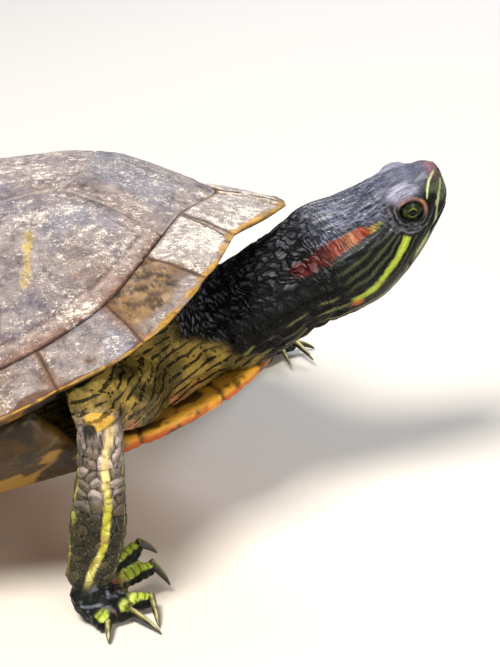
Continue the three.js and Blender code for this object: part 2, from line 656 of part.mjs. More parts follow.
const trunkBody = toManifold(trunk(0));
const trunkClear = toManifold(trunk(GAP));
const floorBlock = toManifold(new THREE.BoxGeometry(600, 600, 40).translate(60, 0, -20));

const lobeRings = LOBE.map(([x, half]) => lobeRing(x, half));
const plastronFront = toManifold(loft(lobeRings));
const plastronMid = toManifold(loft(REACH.map(([x, reach]) => bridgeRing(x, reach))));
const plastronRear = toManifold(loft(AFT_LOBE.map(([x, half]) => lobeRing(x, half)))).subtract(floorBlock);
const gularClear = toManifold(loft(LOBE.slice(0, 7).map(([x, half]) => lobeRing(x + GAP, half + GAP, GAP))));

for (let k = 0; k < 5; k += 1) place3(`vertebral_${k + 1}`, vertebral(k), HORN, 0.6);
for (const [tag, side] of [['right', -1], ['left', 1]]) {
  for (let k = 0; k < 4; k += 1) place3(`costal_${tag}_${k + 1}`, costal(k, side), HORN, 0.6);
}
place3('cervical', rimPiece(-CERVICAL_REACH, CERVICAL_REACH, 2), HORN_PALE, 0.6);
const reach = CERVICAL_REACH + 0.013;
place3('marginals_left', rimPiece(reach, 11.99, 12 * RIM_STEPS), HORN_PALE, 0.6);
place3('marginals_right', rimPiece(12.01, 24 - reach, 12 * RIM_STEPS), HORN_PALE, 0.6);
place3('plastron_front', fromManifold(plastronFront), YELLOW, 0.5);
place3('plastron_middle', fromManifold(plastronMid), YELLOW, 0.5);
place3('plastron_rear', fromManifold(plastronRear), YELLOW, 0.5);
place3('trunk', fromManifold(trunkBody), SKIN_OLIVE, 0.6);

const headClear = toManifold(loft(HEAD.map((row) => headRing(row, GAP))));
const neck = largest(neckBody().subtract(trunkClear).subtract(gularClear).subtract(headClear));
place3('neck', fromManifold(neck), SKIN, 0.5);
place3('head', fromManifold(headBody), SKIN, 0.4);
place3('lower_jaw', fromManifold(jawBody), SKIN, 0.4);
place3('eye_right', fromManifold(eyes[0]), EYE, 0.1);
place3('eye_left', fromManifold(eyes[1]), EYE, 0.1);

const tail = tube([
  [[-2, 0, 13], 7, 6], [[-14, 0, 12], 6.4, 5.6], [[-24, 1, 9.6], 4.4, 4], [[-34, 3, 6.4], 2.8, 2.6],
  [[-43, 6.5, 3.4], 1.5, 1.4], [[-47, 8.6, 2.2], 0.6, 0.6]], [0, 1, 0], 8);
place3('tail', fromManifold(largest(toManifold(tail).subtract(trunkClear))), SKIN, 0.5);

const legs = [
  leg('front_right', FRONT_RIGHT), leg('front_left', FRONT_LEFT),
  leg('hind_right', hind(-1, -5)), leg('hind_left', hind(1, -8))];
for (const { name, lower, upper, foot, claws, lowerGrown } of legs) {
  const above = upper.subtract(lowerGrown).subtract(trunkClear);
  place3(`${name}_upper_leg`, fromManifold(largest(above)), SKIN_OLIVE, 0.5);
  place3(`${name}_lower_leg`, fromManifold(lower), SKIN_LEG, 0.5);
  place3(`${name}_foot`, fromManifold(largest(foot.subtract(lowerGrown).subtract(floorBlock))), SKIN_LEG, 0.5);
  claws.forEach((body, i) => place3(`${name}_claw_${i + 1}`, fromManifold(body), CLAW, 0.35));
}

turtle.position.set(...ORIGIN.map((v) => -v));
export default turtle;
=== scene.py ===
"""The look of a life-size adult female red-eared slider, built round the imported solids.

Lengths are millimetres in the drawing frame until a mesh is made: +X forward, +Y left, +Z up.
The shell is drawn level in its own frame and then raised, and the head has its own frame too,
with its origin at the tip of the snout, so that both sides of the animal take the same markings.
"""
import math
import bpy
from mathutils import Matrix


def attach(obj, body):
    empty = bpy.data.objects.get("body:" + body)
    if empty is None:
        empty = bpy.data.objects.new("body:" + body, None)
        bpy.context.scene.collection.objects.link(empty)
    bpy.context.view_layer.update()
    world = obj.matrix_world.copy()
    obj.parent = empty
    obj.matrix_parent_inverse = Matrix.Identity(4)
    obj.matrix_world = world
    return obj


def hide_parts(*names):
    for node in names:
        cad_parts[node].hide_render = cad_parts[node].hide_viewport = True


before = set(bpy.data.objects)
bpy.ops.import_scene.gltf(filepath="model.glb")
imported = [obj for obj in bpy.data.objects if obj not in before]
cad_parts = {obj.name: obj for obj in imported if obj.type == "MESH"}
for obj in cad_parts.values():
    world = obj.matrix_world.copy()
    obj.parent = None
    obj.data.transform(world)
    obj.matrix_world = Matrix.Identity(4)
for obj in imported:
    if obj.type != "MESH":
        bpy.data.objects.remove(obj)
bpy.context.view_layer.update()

from types import SimpleNamespace

import bmesh
import bpy
import numpy as np
from mathutils import Matrix

scene = bpy.context.scene
ORIGIN = np.array([81.45, 6.1, 0.0])
UV = "OFBake"
FLOOR_GAP = 0.02


# ---------------------------------------------------------------- numbers and noise
def metres(points):
    """From the drawing frame to Blender's metres about the middle of the model."""
    return (np.asarray(points, float) - ORIGIN) / 1000


def drawn(points):
    return np.asarray(points, float) * 1000 + ORIGIN


def step(low, high, x):
    """0 below low, 1 above high, with a smooth rise between."""
    t = np.clip((np.asarray(x, float) - low) / (high - low), 0, 1)
    return t * t * (3 - 2 * t)


def fall(low, high, x):
    """1 below low, 0 above high."""
    return 1 - step(low, high, x)


def bump(middle, width, x):
    """1 at the middle, falling smoothly to 0 at width either side."""
    return fall(0, width, np.abs(np.asarray(x, float) - middle))


def unit(v):
    v = np.asarray(v, float)
    return v / np.maximum(np.linalg.norm(v, axis=-1, keepdims=True), 1e-9)


def lattice(cell, seed):
    """A fixed number from 0 to 1 for each whole-number cell."""
    h = cell[..., 0] * 73856093 ^ cell[..., 1] * 19349663 ^ cell[..., 2] * 83492791 ^ seed * 40503
    h = (h ^ (h >> 13)) * 1274126177 & 0xFFFFFFFF
    h = (h ^ (h >> 15)) * 2246822519 & 0xFFFFFFFF
    return ((h ^ (h >> 16)) & 0xFFFFFFFF) / 4294967295.0


def noise(p, size, seed=0):
    """Smooth noise from -1 to 1 in blobs about size mm across; size may differ by axis."""
    p = np.asarray(p, float) / size
    base = np.floor(p).astype(np.int64)
    f = p - base
    f = f * f * (3 - 2 * f)
    total = 0
    for corner in range(8):
        far = np.array([corner & 1, corner >> 1 & 1, corner >> 2 & 1])
        total = total + np.prod(np.where(far, f, 1 - f), axis=-1) * lattice(base + far, seed)
    return 2 * total - 1


def rough(p, size, seed=0, octaves=4):
    """Noise with finer noise laid over it, about -1 to 1."""
    size = np.asarray(size, float)
    return sum(noise(p, size / 2**k, seed + 17 * k) / 2**k for k in range(octaves)) / 1.6


def cells(p, size, seed=0, loose=0.8):
    """Uneven cells: how far inside its cell each point is, in cell sizes, and a number for the cell."""
    p = np.asarray(p, float) / size
    base = np.floor(p).astype(np.int64)
    first, second = np.full(len(p), 9.0), np.full(len(p), 9.0)
    tag = np.zeros(len(p))
    flat = np.ptp(p[:, 2]) == 0
    for k in range(27):
        offset = np.array([k % 3 - 1, k // 3 % 3 - 1, k // 9 - 1])
        if flat and offset[2]:
            continue
        cell = base + offset
        spot = np.stack([lattice(cell, seed + 7 * a) for a in (1, 2, 3)], axis=-1)
        spot = cell + 0.5 + (spot - 0.5) * loose
        if flat:
            spot[:, 2] = p[:, 2]
        gap = np.linalg.norm(p - spot, axis=1)
        nearer = gap < first
        second = np.where(nearer, first, np.minimum(second, gap))
        tag = np.where(nearer, lattice(cell, seed + 5), tag)
        first = np.where(nearer, gap, first)
    return second - first, tag


def full_turn(count):
    """Even turns all the way round, in radians."""
    return np.linspace(0, 2 * math.pi, count, endpoint=False)


def near_line(p, line):
    """Distance to a line of points, and how far along it the nearest place is."""
    line = np.array(line, float)
    gap, along, start = np.full(len(p), 1e9), np.zeros(len(p)), 0.0
    for a, b in zip(line[:-1], line[1:]):
        d = b - a
        t = np.clip((p - a) @ d / (d @ d), 0, 1)
        r = np.linalg.norm(p - a - t[:, None] * d, axis=1)
        along = np.where(r < gap, start + t * np.linalg.norm(d), along)
        gap = np.minimum(gap, r)
        start += np.linalg.norm(d)
    return gap, along


def ink(code):
    """An sRGB hex colour as linear numbers."""
    s = np.array([int(code[i : i + 2], 16) for i in (1, 3, 5)]) / 255
    return np.where(s <= 0.04045, s / 12.92, ((s + 0.055) / 1.055) ** 2.4)


def paint(base, colour, mask):
    """Lay one colour over another, as much as the mask says."""
    colour = ink(colour) if isinstance(colour, str) else colour
    return base + (colour - base) * np.clip(mask, 0, 1)[:, None]


def plain(code, like):
    """The same colour for each of a list of points."""
    return np.tile(ink(code), (len(like), 1))


def coats(tint, *layers):
    """Lay colours over a tint one after another, each through its own mask."""
    for colour, mask in layers:
        tint = paint(tint, colour, mask)
    return tint


def colours_along(codes, at, x):
    """Colours that follow one another as x grows, each reached at its own value."""
    return np.stack([np.interp(x, at, row) for row in np.array([ink(code) for code in codes]).T], axis=-1)


def within(points, centre, radii):
    """How far out each point lies from the middle of an egg shape, with 1 on its border."""
    return np.linalg.norm((points - centre) / radii, axis=1)


# ---------------------------------------------------------------- meshes
def numbers(items, key, width, kind=np.float32):
    """One row of numbers for each vertex, edge or corner of a mesh."""
    flat = np.empty(len(items) * width, kind)
    items.foreach_get(key, flat)
    return flat.reshape(-1, width)


def make(name, points, faces, fields=None):
    """A smooth mesh object with values stored at its points."""
    mesh = bpy.data.meshes.new(name)
    mesh.from_pydata(metres(points), [], faces)
    mesh.shade_smooth()
    obj = bpy.data.objects.new(name, mesh)
    scene.collection.objects.link(obj)
    carry(obj, fields or {})
    return obj


def carry(obj, fields):
    """Store a number or a colour at every vertex for the materials to read."""
    for name, values in fields.items():
        values = np.asarray(values, np.float32)
        if values.ndim == 1:
            obj.data.attributes.new(name, "FLOAT", "POINT").data.foreach_set("value", values)
        else:
            full = np.ones((len(values), 4), np.float32)
            full[:, :3] = values
            obj.data.attributes.new(name, "FLOAT_COLOR", "POINT").data.foreach_set("color", full.ravel())


def unwrap(obj, uv):
    """Give the mesh its bake map from one pair of numbers at each vertex."""
    loops = numbers(obj.data.loops, "vertex_index", 1, np.int32).ravel()
    layer = obj.data.uv_layers.new(name=UV)
    layer.data.foreach_set("uv", np.asarray(uv, np.float32)[loops].ravel())


def grid_faces(rows, columns, wrap=False):
    j, i = np.meshgrid(np.arange(rows - 1), np.arange(columns if wrap else columns - 1), indexing="ij")
    a, b = j * columns + i, j * columns + (i + 1) % columns
    return np.stack([a, b, b + columns, a + columns], axis=-1).reshape(-1, 4)


def tube_faces(rings, sides):
    """Faces of a closed tube: its rings joined up, and one face over each end."""
    last = (rings - 1) * sides
    return grid_faces(rings, sides, wrap=True).tolist() + [
        list(range(sides))[::-1], list(range(last, last + sides))]


def flip(faces):
    return [list(f)[::-1] for f in faces]


# ---------------------------------------------------------------- the shell frame
# The shell is raised in front about the line x = REST_X near its rear, and its left side leans down.
PITCH, ROLL = math.radians(14.5), math.radians(4)
REST_X, SHELL_LIFT = -78, 0.8
DOME_CENTRE_X, DOME_HEIGHT, DOME_FULLNESS, FRONT_FULLNESS = -5, 81.6, 2.1, 0.5
KEEL_HEIGHT, KEEL_WIDTH = 0.9, 5
BOSS_X, BOSS_HEIGHT, BOSS_LONG, BOSS_BROAD = 61, 3, 15, 17
CERVICAL_REACH = 0.09
SCUTE_DEPTH = 2.4
RING_PITCH = 1.5

# The left half of the rim's outer edge, and of the seam where the rim meets the dome, from front to
# back, with one point at each border between marginal scutes.
RIM = [
    (102, 0, 45), (90.4, 22.6, 46.2), (81.6, 42.8, 42.4), (62.8, 58.3, 34.6), (39.2, 67.8, 31.4),
    (14, 73, 28.5), (-10, 75.5, 26.5), (-36, 75, 25.5), (-59, 67.5, 25), (-78, 54, 25),
    (-90, 37, 25), (-98, 18, 25.5), (-100, 0, 26)]
SEAM = [
    (86.2, 0, 53.8), (76.8, 18, 54.8), (66.2, 33.6, 49.7), (54, 46.7, 44), (35.2, 58.4, 40.4),
    (12, 64, 38.3), (-10, 65.5, 37), (-33, 64.5, 36.5), (-53, 57, 36.5), (-68, 44.5, 37),
    (-78, 29, 37.5), (-83, 14, 38), (-84.5, 0, 38.5)]
# Corners of the vertebral scutes on one side, from front to back.
ROW = [(67.5, 25), (47, 17.8), (28, 24), (11, 19.5), (-9, 25), (-27, 19.5), (-45, 23), (-62, 15), (-74, 34)]
VERTEBRAL_BOW = [10, 3, 1, -1]
COSTAL_ENDS = [4.55, 6.4, 8.35]


def lift(p):
    """From the level shell to the drawing frame, where the shell is raised in front and leans to one side."""
    p = np.asarray(p, float)
    run = p[..., 0] - REST_X
    across = p[..., 1] * math.cos(ROLL) + p[..., 2] * math.sin(ROLL)
    rise = p[..., 2] * math.cos(ROLL) - p[..., 1] * math.sin(ROLL)
    high = run * math.sin(PITCH) + rise * math.cos(PITCH) + SHELL_LIFT
    return np.stack([run * math.cos(PITCH) - rise * math.sin(PITCH), across, high], axis=-1)


def unlift(p):
    """From the drawing frame back to the level shell."""
    x, y, z = p[:, 0], p[:, 1], p[:, 2] - SHELL_LIFT
    run = x * math.cos(PITCH) + z * math.sin(PITCH)
    rise = z * math.cos(PITCH) - x * math.sin(PITCH)
    across = y * math.cos(ROLL) - rise * math.sin(ROLL)
    return np.stack([run + REST_X, across, y * math.sin(ROLL) + rise * math.cos(ROLL)], axis=-1)


def spline(a, b, c, d, t):
    """A smooth run from b to c, with a before it and d after it."""
    return b + 0.5 * t * ((c - a) + t * ((2 * a - 5 * b + 4 * c - d) + t * (3 * (b - c) + d - a)))


def closed_curve(rows):
    """A smooth closed line through the left-hand points and their mirror images."""
    rows = np.array(rows, float)
    ring = np.vstack([rows, rows[-2:0:-1] * [1, -1, 1]])
    n = len(ring)

    def at(station):
        station = np.asarray(station, float) % n
        i = np.floor(station).astype(int)
        t = (station - i)[..., None]
        return spline(*(ring[(i + k) % n] for k in (-1, 0, 1, 2)), t)

    return at


rim_at, seam_at = closed_curve(RIM), closed_curve(SEAM)
HALF_ROUND = np.linspace(0, 12, 2401)
HALF_BEARINGS = np.arctan2(np.abs(seam_at(HALF_ROUND)[:, 1]), seam_at(HALF_ROUND)[:, 0] - DOME_CENTRE_X)


def station_at(angle):
    """How far round the seam, in scutes, a bearing from the middle of the dome meets it."""
    return np.interp(angle, HALF_BEARINGS, HALF_ROUND)


def dome(x, y):
    """Height of the smooth dome, with its low keel and the boss on the first vertebral scute."""
    angle = np.arctan2(np.abs(y), x - DOME_CENTRE_X)
    edge = seam_at(station_at(angle))
    reach = np.hypot(x - DOME_CENTRE_X, y) / np.hypot(edge[..., 0] - DOME_CENTRE_X, edge[..., 1])
    full = DOME_FULLNESS + FRONT_FULLNESS * np.maximum(0, np.cos(angle)) ** 2
    keel = KEEL_HEIGHT * np.exp(-((y / KEEL_WIDTH) ** 2)) * np.maximum(0, 1 - reach**4)
    boss = BOSS_HEIGHT * np.exp(-(((x - BOSS_X) / BOSS_LONG) ** 2) - (y / BOSS_BROAD) ** 2)
    boss = boss * np.maximum(0, 1 - reach**6)
    return edge[..., 2] + (DOME_HEIGHT - edge[..., 2]) * (1 - reach**full) + keel + boss


def dome_normal(x, y):
    e = 0.5
    fall_x, fall_y = dome(x - e, y) - dome(x + e, y), dome(x, y - e) - dome(x, y + e)
    return unit(np.stack([fall_x, fall_y, np.full(np.shape(x), 2 * e)], axis=-1))


# ---------------------------------------------------------------- scutes of the dome
def resample(line, count):
    """Evenly spaced points along a line; a line of three points keeps its middle one."""
    line = np.asarray(line, float)
    if len(line) == 3:
        half = count // 2
        return np.vstack([resample(line[:2], half), resample(line[1:], count - half)[1:]])
    reach = np.append(0, np.cumsum(np.linalg.norm(np.diff(line, axis=0), axis=1)))
    goal = np.linspace(0, reach[-1], count + 1)
    return np.stack([np.interp(goal, reach, line[:, k]) for k in (0, 1)], axis=-1)


def inset(loop, amount):
    """Move a closed line of points inward."""
    x, y = loop[:, 0], loop[:, 1]
    turn = np.sign(np.sum(x * np.roll(y, -1) - np.roll(x, -1) * y))
    before, after = unit(loop - np.roll(loop, 1, axis=0)), unit(np.roll(loop, -1, axis=0) - loop)
    both = before + after
    normal = unit(np.stack([-both[:, 1], both[:, 0]], axis=-1) * turn)
    lean = np.sum(normal * np.stack([-after[:, 1], after[:, 0]], axis=-1) * turn, axis=1)
    return loop + normal * (amount / np.maximum(0.5, lean))[:, None]


def seam_run(start, end, steps=24):
    return seam_at(np.linspace(start, end, steps + 1))[:, :2]


SHOULDER = float(station_at(math.atan2(ROW[0][1], ROW[0][0] - DOME_CENTRE_X)))
HIP = float(station_at(math.atan2(ROW[8][1], ROW[8][0] - DOME_CENTRE_X)))


def vertebral_seam(k):
    """The cross seam in front of vertebral scute k, from right to left."""
    if k == 0:
        return seam_run(-SHOULDER, SHOULDER, 48)
    if k == 5:
        return seam_run(24 - HIP, HIP, 48)
    x, y = ROW[[0, 1, 3, 5, 7][k]]
    t = np.linspace(-1, 1, 41)
    return np.stack([x + VERTEBRAL_BOW[k - 1] * (1 - t * t), y * t], axis=-1)


def vertebral_edges(k):
    """Front, rear, right and left borders of a vertebral scute, in plan."""
    ends = {0: seam_at(SHOULDER)[:2], 8: seam_at(HIP)[:2]}
    outer = np.array([ends.get(i, ROW[i]) for i in [[0, 1], [1, 2, 3], [3, 4, 5], [5, 6, 7], [7, 8]][k]])
    return [vertebral_seam(k), vertebral_seam(k + 1), outer * [1, -1], outer]


def costal_edges(k, side):
    """Front, rear, inner and outer borders of a costal scute, in plan."""
    seams = [SHOULDER, *COSTAL_ENDS, HIP]
    inner = np.array([ROW[i] for i in [[0, 1, 2], [2, 3, 4], [4, 5, 6], [6, 7, 8]][k]], float)
    if k == 0:
        inner[0] = seam_at(SHOULDER)[:2]
    if k == 3:
        inner[2] = seam_at(HIP)[:2]
    first = SHOULDER + 1.1 if k == 0 else seams[k]
    last = HIP - 1 if k == 3 else seams[k + 1]
    front = seam_run(SHOULDER, first) if k == 0 else np.array([inner[0], seam_at(first)[:2]])
    rear = seam_run(HIP, last) if k == 3 else np.array([inner[2], seam_at(last)[:2]])
    return [line * [1, side] for line in (front, rear, inner, seam_run(first, last))]


def scute_grid(edges, n, tuck=0.04):
    """Points in plan between four edges: front and rear run inner to outer, the others run aft."""
    f, r, a, b = (resample(line, n) for line in edges)
    loop = inset(np.vstack([f[:-1], b[:-1], r[:0:-1], a[:0:-1]]), tuck)
    f, b, r, a = (loop[(first + np.arange(n + 1)) % (4 * n)] for first in (0, n, 2 * n, 3 * n))
    r, a = r[::-1], a[::-1]
    u, v = np.meshgrid(np.linspace(0, 1, n + 1), np.linspace(0, 1, n + 1))
    u, v = u[..., None], v[..., None]
    ruled = f[None] * (1 - v) + r[None] * v + a[:, None] * (1 - u) + b[:, None] * u
    corners = (f[0] * (1 - u) + f[-1] * u) * (1 - v) + (r[0] * (1 - u) + r[-1] * u) * v
    return (ruled - corners).reshape(-1, 2), loop


def border_of(n):
    """Numbers of the points round the border of a scute's grid, in order."""
    at = np.arange((n + 1) * (n + 1)).reshape(n + 1, n + 1)
    return np.concatenate([at[0, :-1], at[:-1, -1], at[-1, :0:-1], at[:0:-1, 0]])


def loop_distance(points, loop):
    return near_line(points, np.vstack([loop, loop[:1]]))[0]


def horn_relief(shell, edge, seed, along):
    """Height of the horn above the smooth dome: sunk seams, yearly rings and fine long wrinkles."""
    ring = (edge + 0.9 * noise(shell, 9, seed)) / RING_PITCH
    saw = ring - np.floor(ring)
    rings = np.minimum(saw / 0.75, (1 - saw) / 0.25) * fall(3.5, 6, edge)
    stretched = shell + 1.2 * noise(shell, 6, seed + 3)[:, None]
    wrinkle = rough(stretched, along, seed + 5, 3)
    pits = rough(shell, 2.4, seed + 9, 3)
    seam = -0.3 * fall(0, 0.6, edge)
    middle = 0.3 * step(3.6, 5.5, edge)
    return seam + middle + 0.08 * rings + 0.34 * wrinkle + 0.2 * pits


def horn_colour(shell, seed, relief):
    """Lilac-grey horn with slate and brown washes, with a painted highlight where it stands up and painted
    shade where it is sunk.
    """
    return coats(
        plain("#80767b", shell),
        ("#666679", 0.9 * step(0.05, 0.55, rough(shell, 22, seed + 21))),
        ("#8a7468", 0.8 * step(0.1, 0.7, rough(shell, 14, seed + 22))),
        # paler where the relief stands up, partly at random: painted highlight
        ("#a59b98", 0.6 * step(0.0, 0.6, rough(shell, 5, seed + 25) + relief)),
        # darker where the relief is sunk, partly at random: painted shade
        ("#453b3d", 0.65 * step(0.1, 0.7, -rough(shell, 3, seed + 26) - relief)))


def film_on(shell, edge, seed, relief, along):
    """How much of the pale bloom has dried on the horn, most toward the edges; it is also laid thicker on the
    ridges as a painted highlight.
    """
    patches = rough(shell, (12, 7, 9), seed + 23, 3)
    streaks = rough(shell, np.array(along) * 0.6, seed + 24, 3)
    # the relief term lays the pale bloom thicker on ridges: painted highlight
    return 0.33 + 0.3 * patches + 0.26 * streaks + 0.26 * relief + 0.12 * bump(2.2, 2, edge)


def scute(name, edges, n, seed, along, colour):
    """One scute: a top raised by its relief, and a skirt tucked under its border."""
    flat, loop = scute_grid(edges, n)
    x, y = flat[:, 0], flat[:, 1]
    shell = np.column_stack([flat, dome(x, y)])
    out = dome_normal(x, y)
    edge = loop_distance(flat, loop) / np.maximum(0.35, out[:, 2]) ** 0.5
    relief = horn_relief(shell, edge, seed, along)
    top = shell + out * relief[:, None]
    border = border_of(n)
    low = shell[border] - out[border] * SCUTE_DEPTH
    tint = colour(horn_colour(shell, seed, relief), shell, edge)
    film = film_on(shell, edge, seed, relief, along)
    rim = np.arange(4 * n)
    skirt = np.stack([border, np.roll(border, -1), len(top) + np.roll(rim, -1), len(top) + rim], axis=-1)
    faces = grid_faces(n + 1, n + 1).tolist() + [f[::-1] for f in skirt.tolist()] + [(len(top) + rim).tolist()]
    centre = np.cross(top[1] - top[0], top[n + 1] - top[0])
    if centre[2] < 0:
        faces = flip(faces)
    place = np.vstack([lift(top), lift(low)])
    u = (flat - flat.min(0)) / np.ptp(flat, axis=0).max()
    # the skirt down into the gap between scutes keeps three tenths of the border's colour: painted shade in
    # the gaps
    fields = {
        "tint": np.vstack([tint, tint[border] * 0.3]), "film": np.append(film, np.zeros(4 * n)),
        "level": np.vstack([shell, low])}
    obj = make(name, place, faces, fields)
    unwrap(obj, np.vstack([u, u[border]]))
    return obj


def vertebral_colour(k):
    """Markings of the middle row of scutes; the first one has a blue wash."""
    def colour(tint, shell, edge):
        x, y = shell[:, 0], np.abs(shell[:, 1])
        if k == 0:
            blue = step(0.1, 0.5, 0.6 * noise(shell, 12, 41) + 1 - np.hypot((x - 66) / 11, (y - 9) / 9))
            tint = paint(tint, "#737b90", 0.5 * blue)
        return coats(
            tint,
            ("#4e4a55", 0.5 * step(0.1, 0.6, noise(shell, (14, 5, 9), 42))),
            ("#c9c1ba", 0.55 * fall(0.2, 0.8, edge + 0.4 * noise(shell, 3, 43))))
    return colour


def costal_colour(k):
    """Markings of the side scutes: brown rings low down, and on the first a pale bar and a blue wash."""
    def colour(tint, shell, edge):
        x, y = shell[:, 0], np.abs(shell[:, 1])
        low = step(0, 8, y - 22)
        inner = edge + 0.7 * noise(shell, 8, 51 + k)
        broken = step(-0.7, 0.1, noise(shell, 9, 53))
        tint = coats(
            tint,
            ("#a08a84", 0.7 * low * fall(3.6, 4.6, inner)),
            ("#84604f", 0.75 * low * fall(0.8, 2.6, edge + 0.8 * noise(shell, 5, 52))),
            ("#5e3f3a", 0.85 * low * bump(4.6, 0.45, inner) * broken),
            ("#c2b6ae", 0.5 * low * bump(3.5, 0.6, inner)),
            ("#4f3029", 0.9 * low * fall(0.2, 0.8, edge)))
        if k == 0:
            bar = bump(0, 1.7 + 0.9 * noise(shell, 4, 55), x - 38.4 + 0.24 * (y - 33))
            bar = bar * step(31, 34, y) * fall(44, 48, y)
            blue = step(0.15, 0.6, 0.6 * noise(shell, 9, 56) + 1 - np.hypot((x - 52) / 10, (y - 26) / 7))
            tint = coats(
                tint,
                ("#bfa867", 0.9 * step(0.1, 0.5, bar) * step(-0.8, 0.1, noise(shell, 2.2, 59))),
                ("#8a93ab", 0.5 * blue))
        gold = step(0.45, 0.8, rough(shell, 4, 57 + k, 3)) * step(0.1, 0.5, noise(shell, 14, 58))
        return paint(tint, "#b99b62", 0.35 * gold)
    return colour


shell_pieces = []


def dome_scute(solid, *drawing):
    piece = scute("horn_" + solid, *drawing)
    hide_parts(solid)
    shell_pieces.append(piece)


for k in range(5):
    fine = 96 if k < 2 else 64
    dome_scute(f"vertebral_{k + 1}", vertebral_edges(k), fine, 100 + k, (9, 1.5, 4), vertebral_colour(k))
for tag, side in (("right", -1), ("left", 1)):
    for k in range(4):
        fine = 110 if k == 0 and side < 0 else (80 if k < 2 else 60)
        seed = 110 + k + 20 * side
        dome_scute(f"costal_{tag}_{k + 1}", costal_edges(k, side), fine, seed, (7, 2.2, 1.6), costal_colour(k))


# ---------------------------------------------------------------- the rim of marginal scutes
# A station counts scutes round the rim, from the middle of the front; way_down counts the corners
# of the cross-section from the dome's seam out to the edge and back below.
ROUND_TRIP = 24
EDGE_CORNER, LAST_CORNER = 3, 7
RIM_COLUMNS = 72


def rim_section(station):
    """Corner points of the rim's cross-section at each station, in the shell frame."""
    seam, rim = seam_at(station), rim_at(station)
    out = unit((rim - seam) * [1, 1, 0])
    near = np.abs(station - np.round(station))
    back = np.minimum(station, ROUND_TRIP - station)
    notch = (0.5 + 1.3 * back / 12) * np.maximum(0, 1 - near / 0.2)
    deep = np.where((back > 4) & (back < 8), 9.5, 7.5)
    up = np.array([0.0, 0, 1])
    top = seam + out * 0.05
    beak = 2.2 * np.maximum(0, 1 - back / 0.8)
    edge = rim + out * (beak - notch)[:, None]
    inward = dome_normal(seam[:, 0], seam[:, 1])
    shelf = top * 0.85 + edge * 0.15 - up * deep[:, None]
    above = [top, (top + edge) / 2 + up * 0.3, edge - out * 1.2 + up * 0.25, edge - up * 0.1]
    below = [edge - out * 0.9 - up * 0.9, (shelf + edge) / 2 - up * 2.2, shelf, top - inward * 5]
    return np.stack(above + below, axis=1)


def smooth_profile(corners, count):
    """A smooth open line through each section's corner points."""
    n = corners.shape[1]
    t = np.linspace(0, n - 1, count)
    i = np.minimum(t.astype(int), n - 2)
    f = (t - i)[None, :, None]
    return spline(*(corners[:, np.clip(i + k, 0, n - 1)] for k in (-1, 0, 1, 2)), f)


def rim_piece(name, start, end, per_scute, seed):
    """A run of the rim between two stations, closed above and below."""
    count = max(12, int(round((end - start) * per_scute)))
    station = np.linspace(start, end, count + 1)
    middle = smooth_profile(rim_section(station), RIM_COLUMNS)
    rows, columns = middle.shape[:2]
    shell = middle.reshape(-1, 3)
    along_station = np.repeat(station, columns)
    way_down = np.tile(np.linspace(0, LAST_CORNER, columns), rows)
    back = np.minimum(along_station, ROUND_TRIP - along_station)
    side_gap = np.abs(back - np.where(back < 0.5, CERVICAL_REACH, np.round(back)))
    pitch_mm = np.linalg.norm(rim_at(along_station + 0.05) - rim_at(along_station - 0.05), axis=1) * 10
    seam_gap = side_gap * pitch_mm
    reach = np.linalg.norm(middle - middle[:, :1], axis=2).ravel()
    edge = np.minimum(seam_gap, reach)
    du = np.gradient(middle, axis=0)
    dv = np.gradient(middle, axis=1)
    out = unit(np.cross(du, dv)).reshape(-1, 3)
    outward = np.sum(out * (shell - [0, 0, 10]), axis=1).reshape(rows, columns)[:, :12].mean()
    out = out * np.sign(outward)
    top_side = fall(2.6, 3.4, way_down)
    relief = horn_relief(shell, edge, seed, (5, 1.6, 2))
    relief = relief * (0.25 + 0.75 * top_side)
    third_scute = np.floor(back) == 2
    outer = way_down / EDGE_CORNER
    pits = step(0.12, 0.5, rough(shell, 2.2, seed + 3, 2)) * third_scute * fall(0.6, 0.75, outer)
    relief = relief - 0.3 * pits * top_side
    place = shell + out * relief[:, None] * (way_down < 6.5)[:, None]
    tint = rim_colour(shell, edge, relief, back, outer, seed)
    faces = grid_faces(rows, columns).tolist()
    for start_of in range(0, (rows - 1) * columns, columns):
        faces.append([start_of, start_of + columns, start_of + 2 * columns - 1, start_of + columns - 1])
    faces.append(list(range(columns))[::-1])
    faces.append([(rows - 1) * columns + i for i in range(columns)])
    if outward < 0:
        faces = flip(faces)
    film = film_on(shell, edge, seed, relief, (3, 2, 2)) + 0.2 * (back < 2) + 0.08 * (back < 5)
    film = film * top_side - 0.35 * third_scute * fall(0.44, 0.6, outer)
    film = film - 0.9 * fall(0.25, 0.8, edge) * top_side
    line, strip = old_strip(shell, back, outer, seed)
    film = film - 0.7 * line - 0.3 * strip
    film = film - 0.5 * gilt(shell, back, outer, seed) - 0.5 * chipped(shell, back, outer, seed)
    obj = make(name, lift(place), faces, {"tint": tint, "film": film, "level": shell})
    span = max(1.0, end - start)
    unwrap(obj, np.column_stack([(along_station - start) / span, way_down / LAST_CORNER / span * 2]))
    return obj


def old_strip(shell, back, outer, seed):
    """The wedge of old horn along the front of the second marginal: its border line, and the wedge itself."""
    border = 0.03 + 0.15 * outer + 0.02 * noise(shell, 4, seed + 17)
    inside = back - np.floor(back)
    on_top = (np.floor(back) == 1) * (outer < 1)
    return on_top * bump(border, 0.028, inside), on_top * (inside < border)


def chipped(shell, back, outer, seed):
    """Where the outer border of the side scutes has lost its pale layer."""
    ragged = outer + 0.09 * noise(shell, (7, 4, 4), seed + 7) + 0.02 * noise(shell, 1.5, seed + 16)
    ragged = ragged + 0.22 * step(0.15, 0.6, noise(shell, (8, 5, 5), seed + 21))
    return (back >= 3) * step(0.67, 0.69, ragged) * fall(1.0, 1.1, outer)


def gilt(shell, back, outer, seed):
    """The worn outer edge, where the horn shows gold; it is broadest at the front."""
    start = np.interp(back, [2.6, 3.6], [0.62, 0.86])
    ragged = outer + 0.06 * noise(shell, 4, seed + 8) + 0.03 * noise(shell, 1.2, seed + 20)
    return step(start, start + 0.04, ragged)


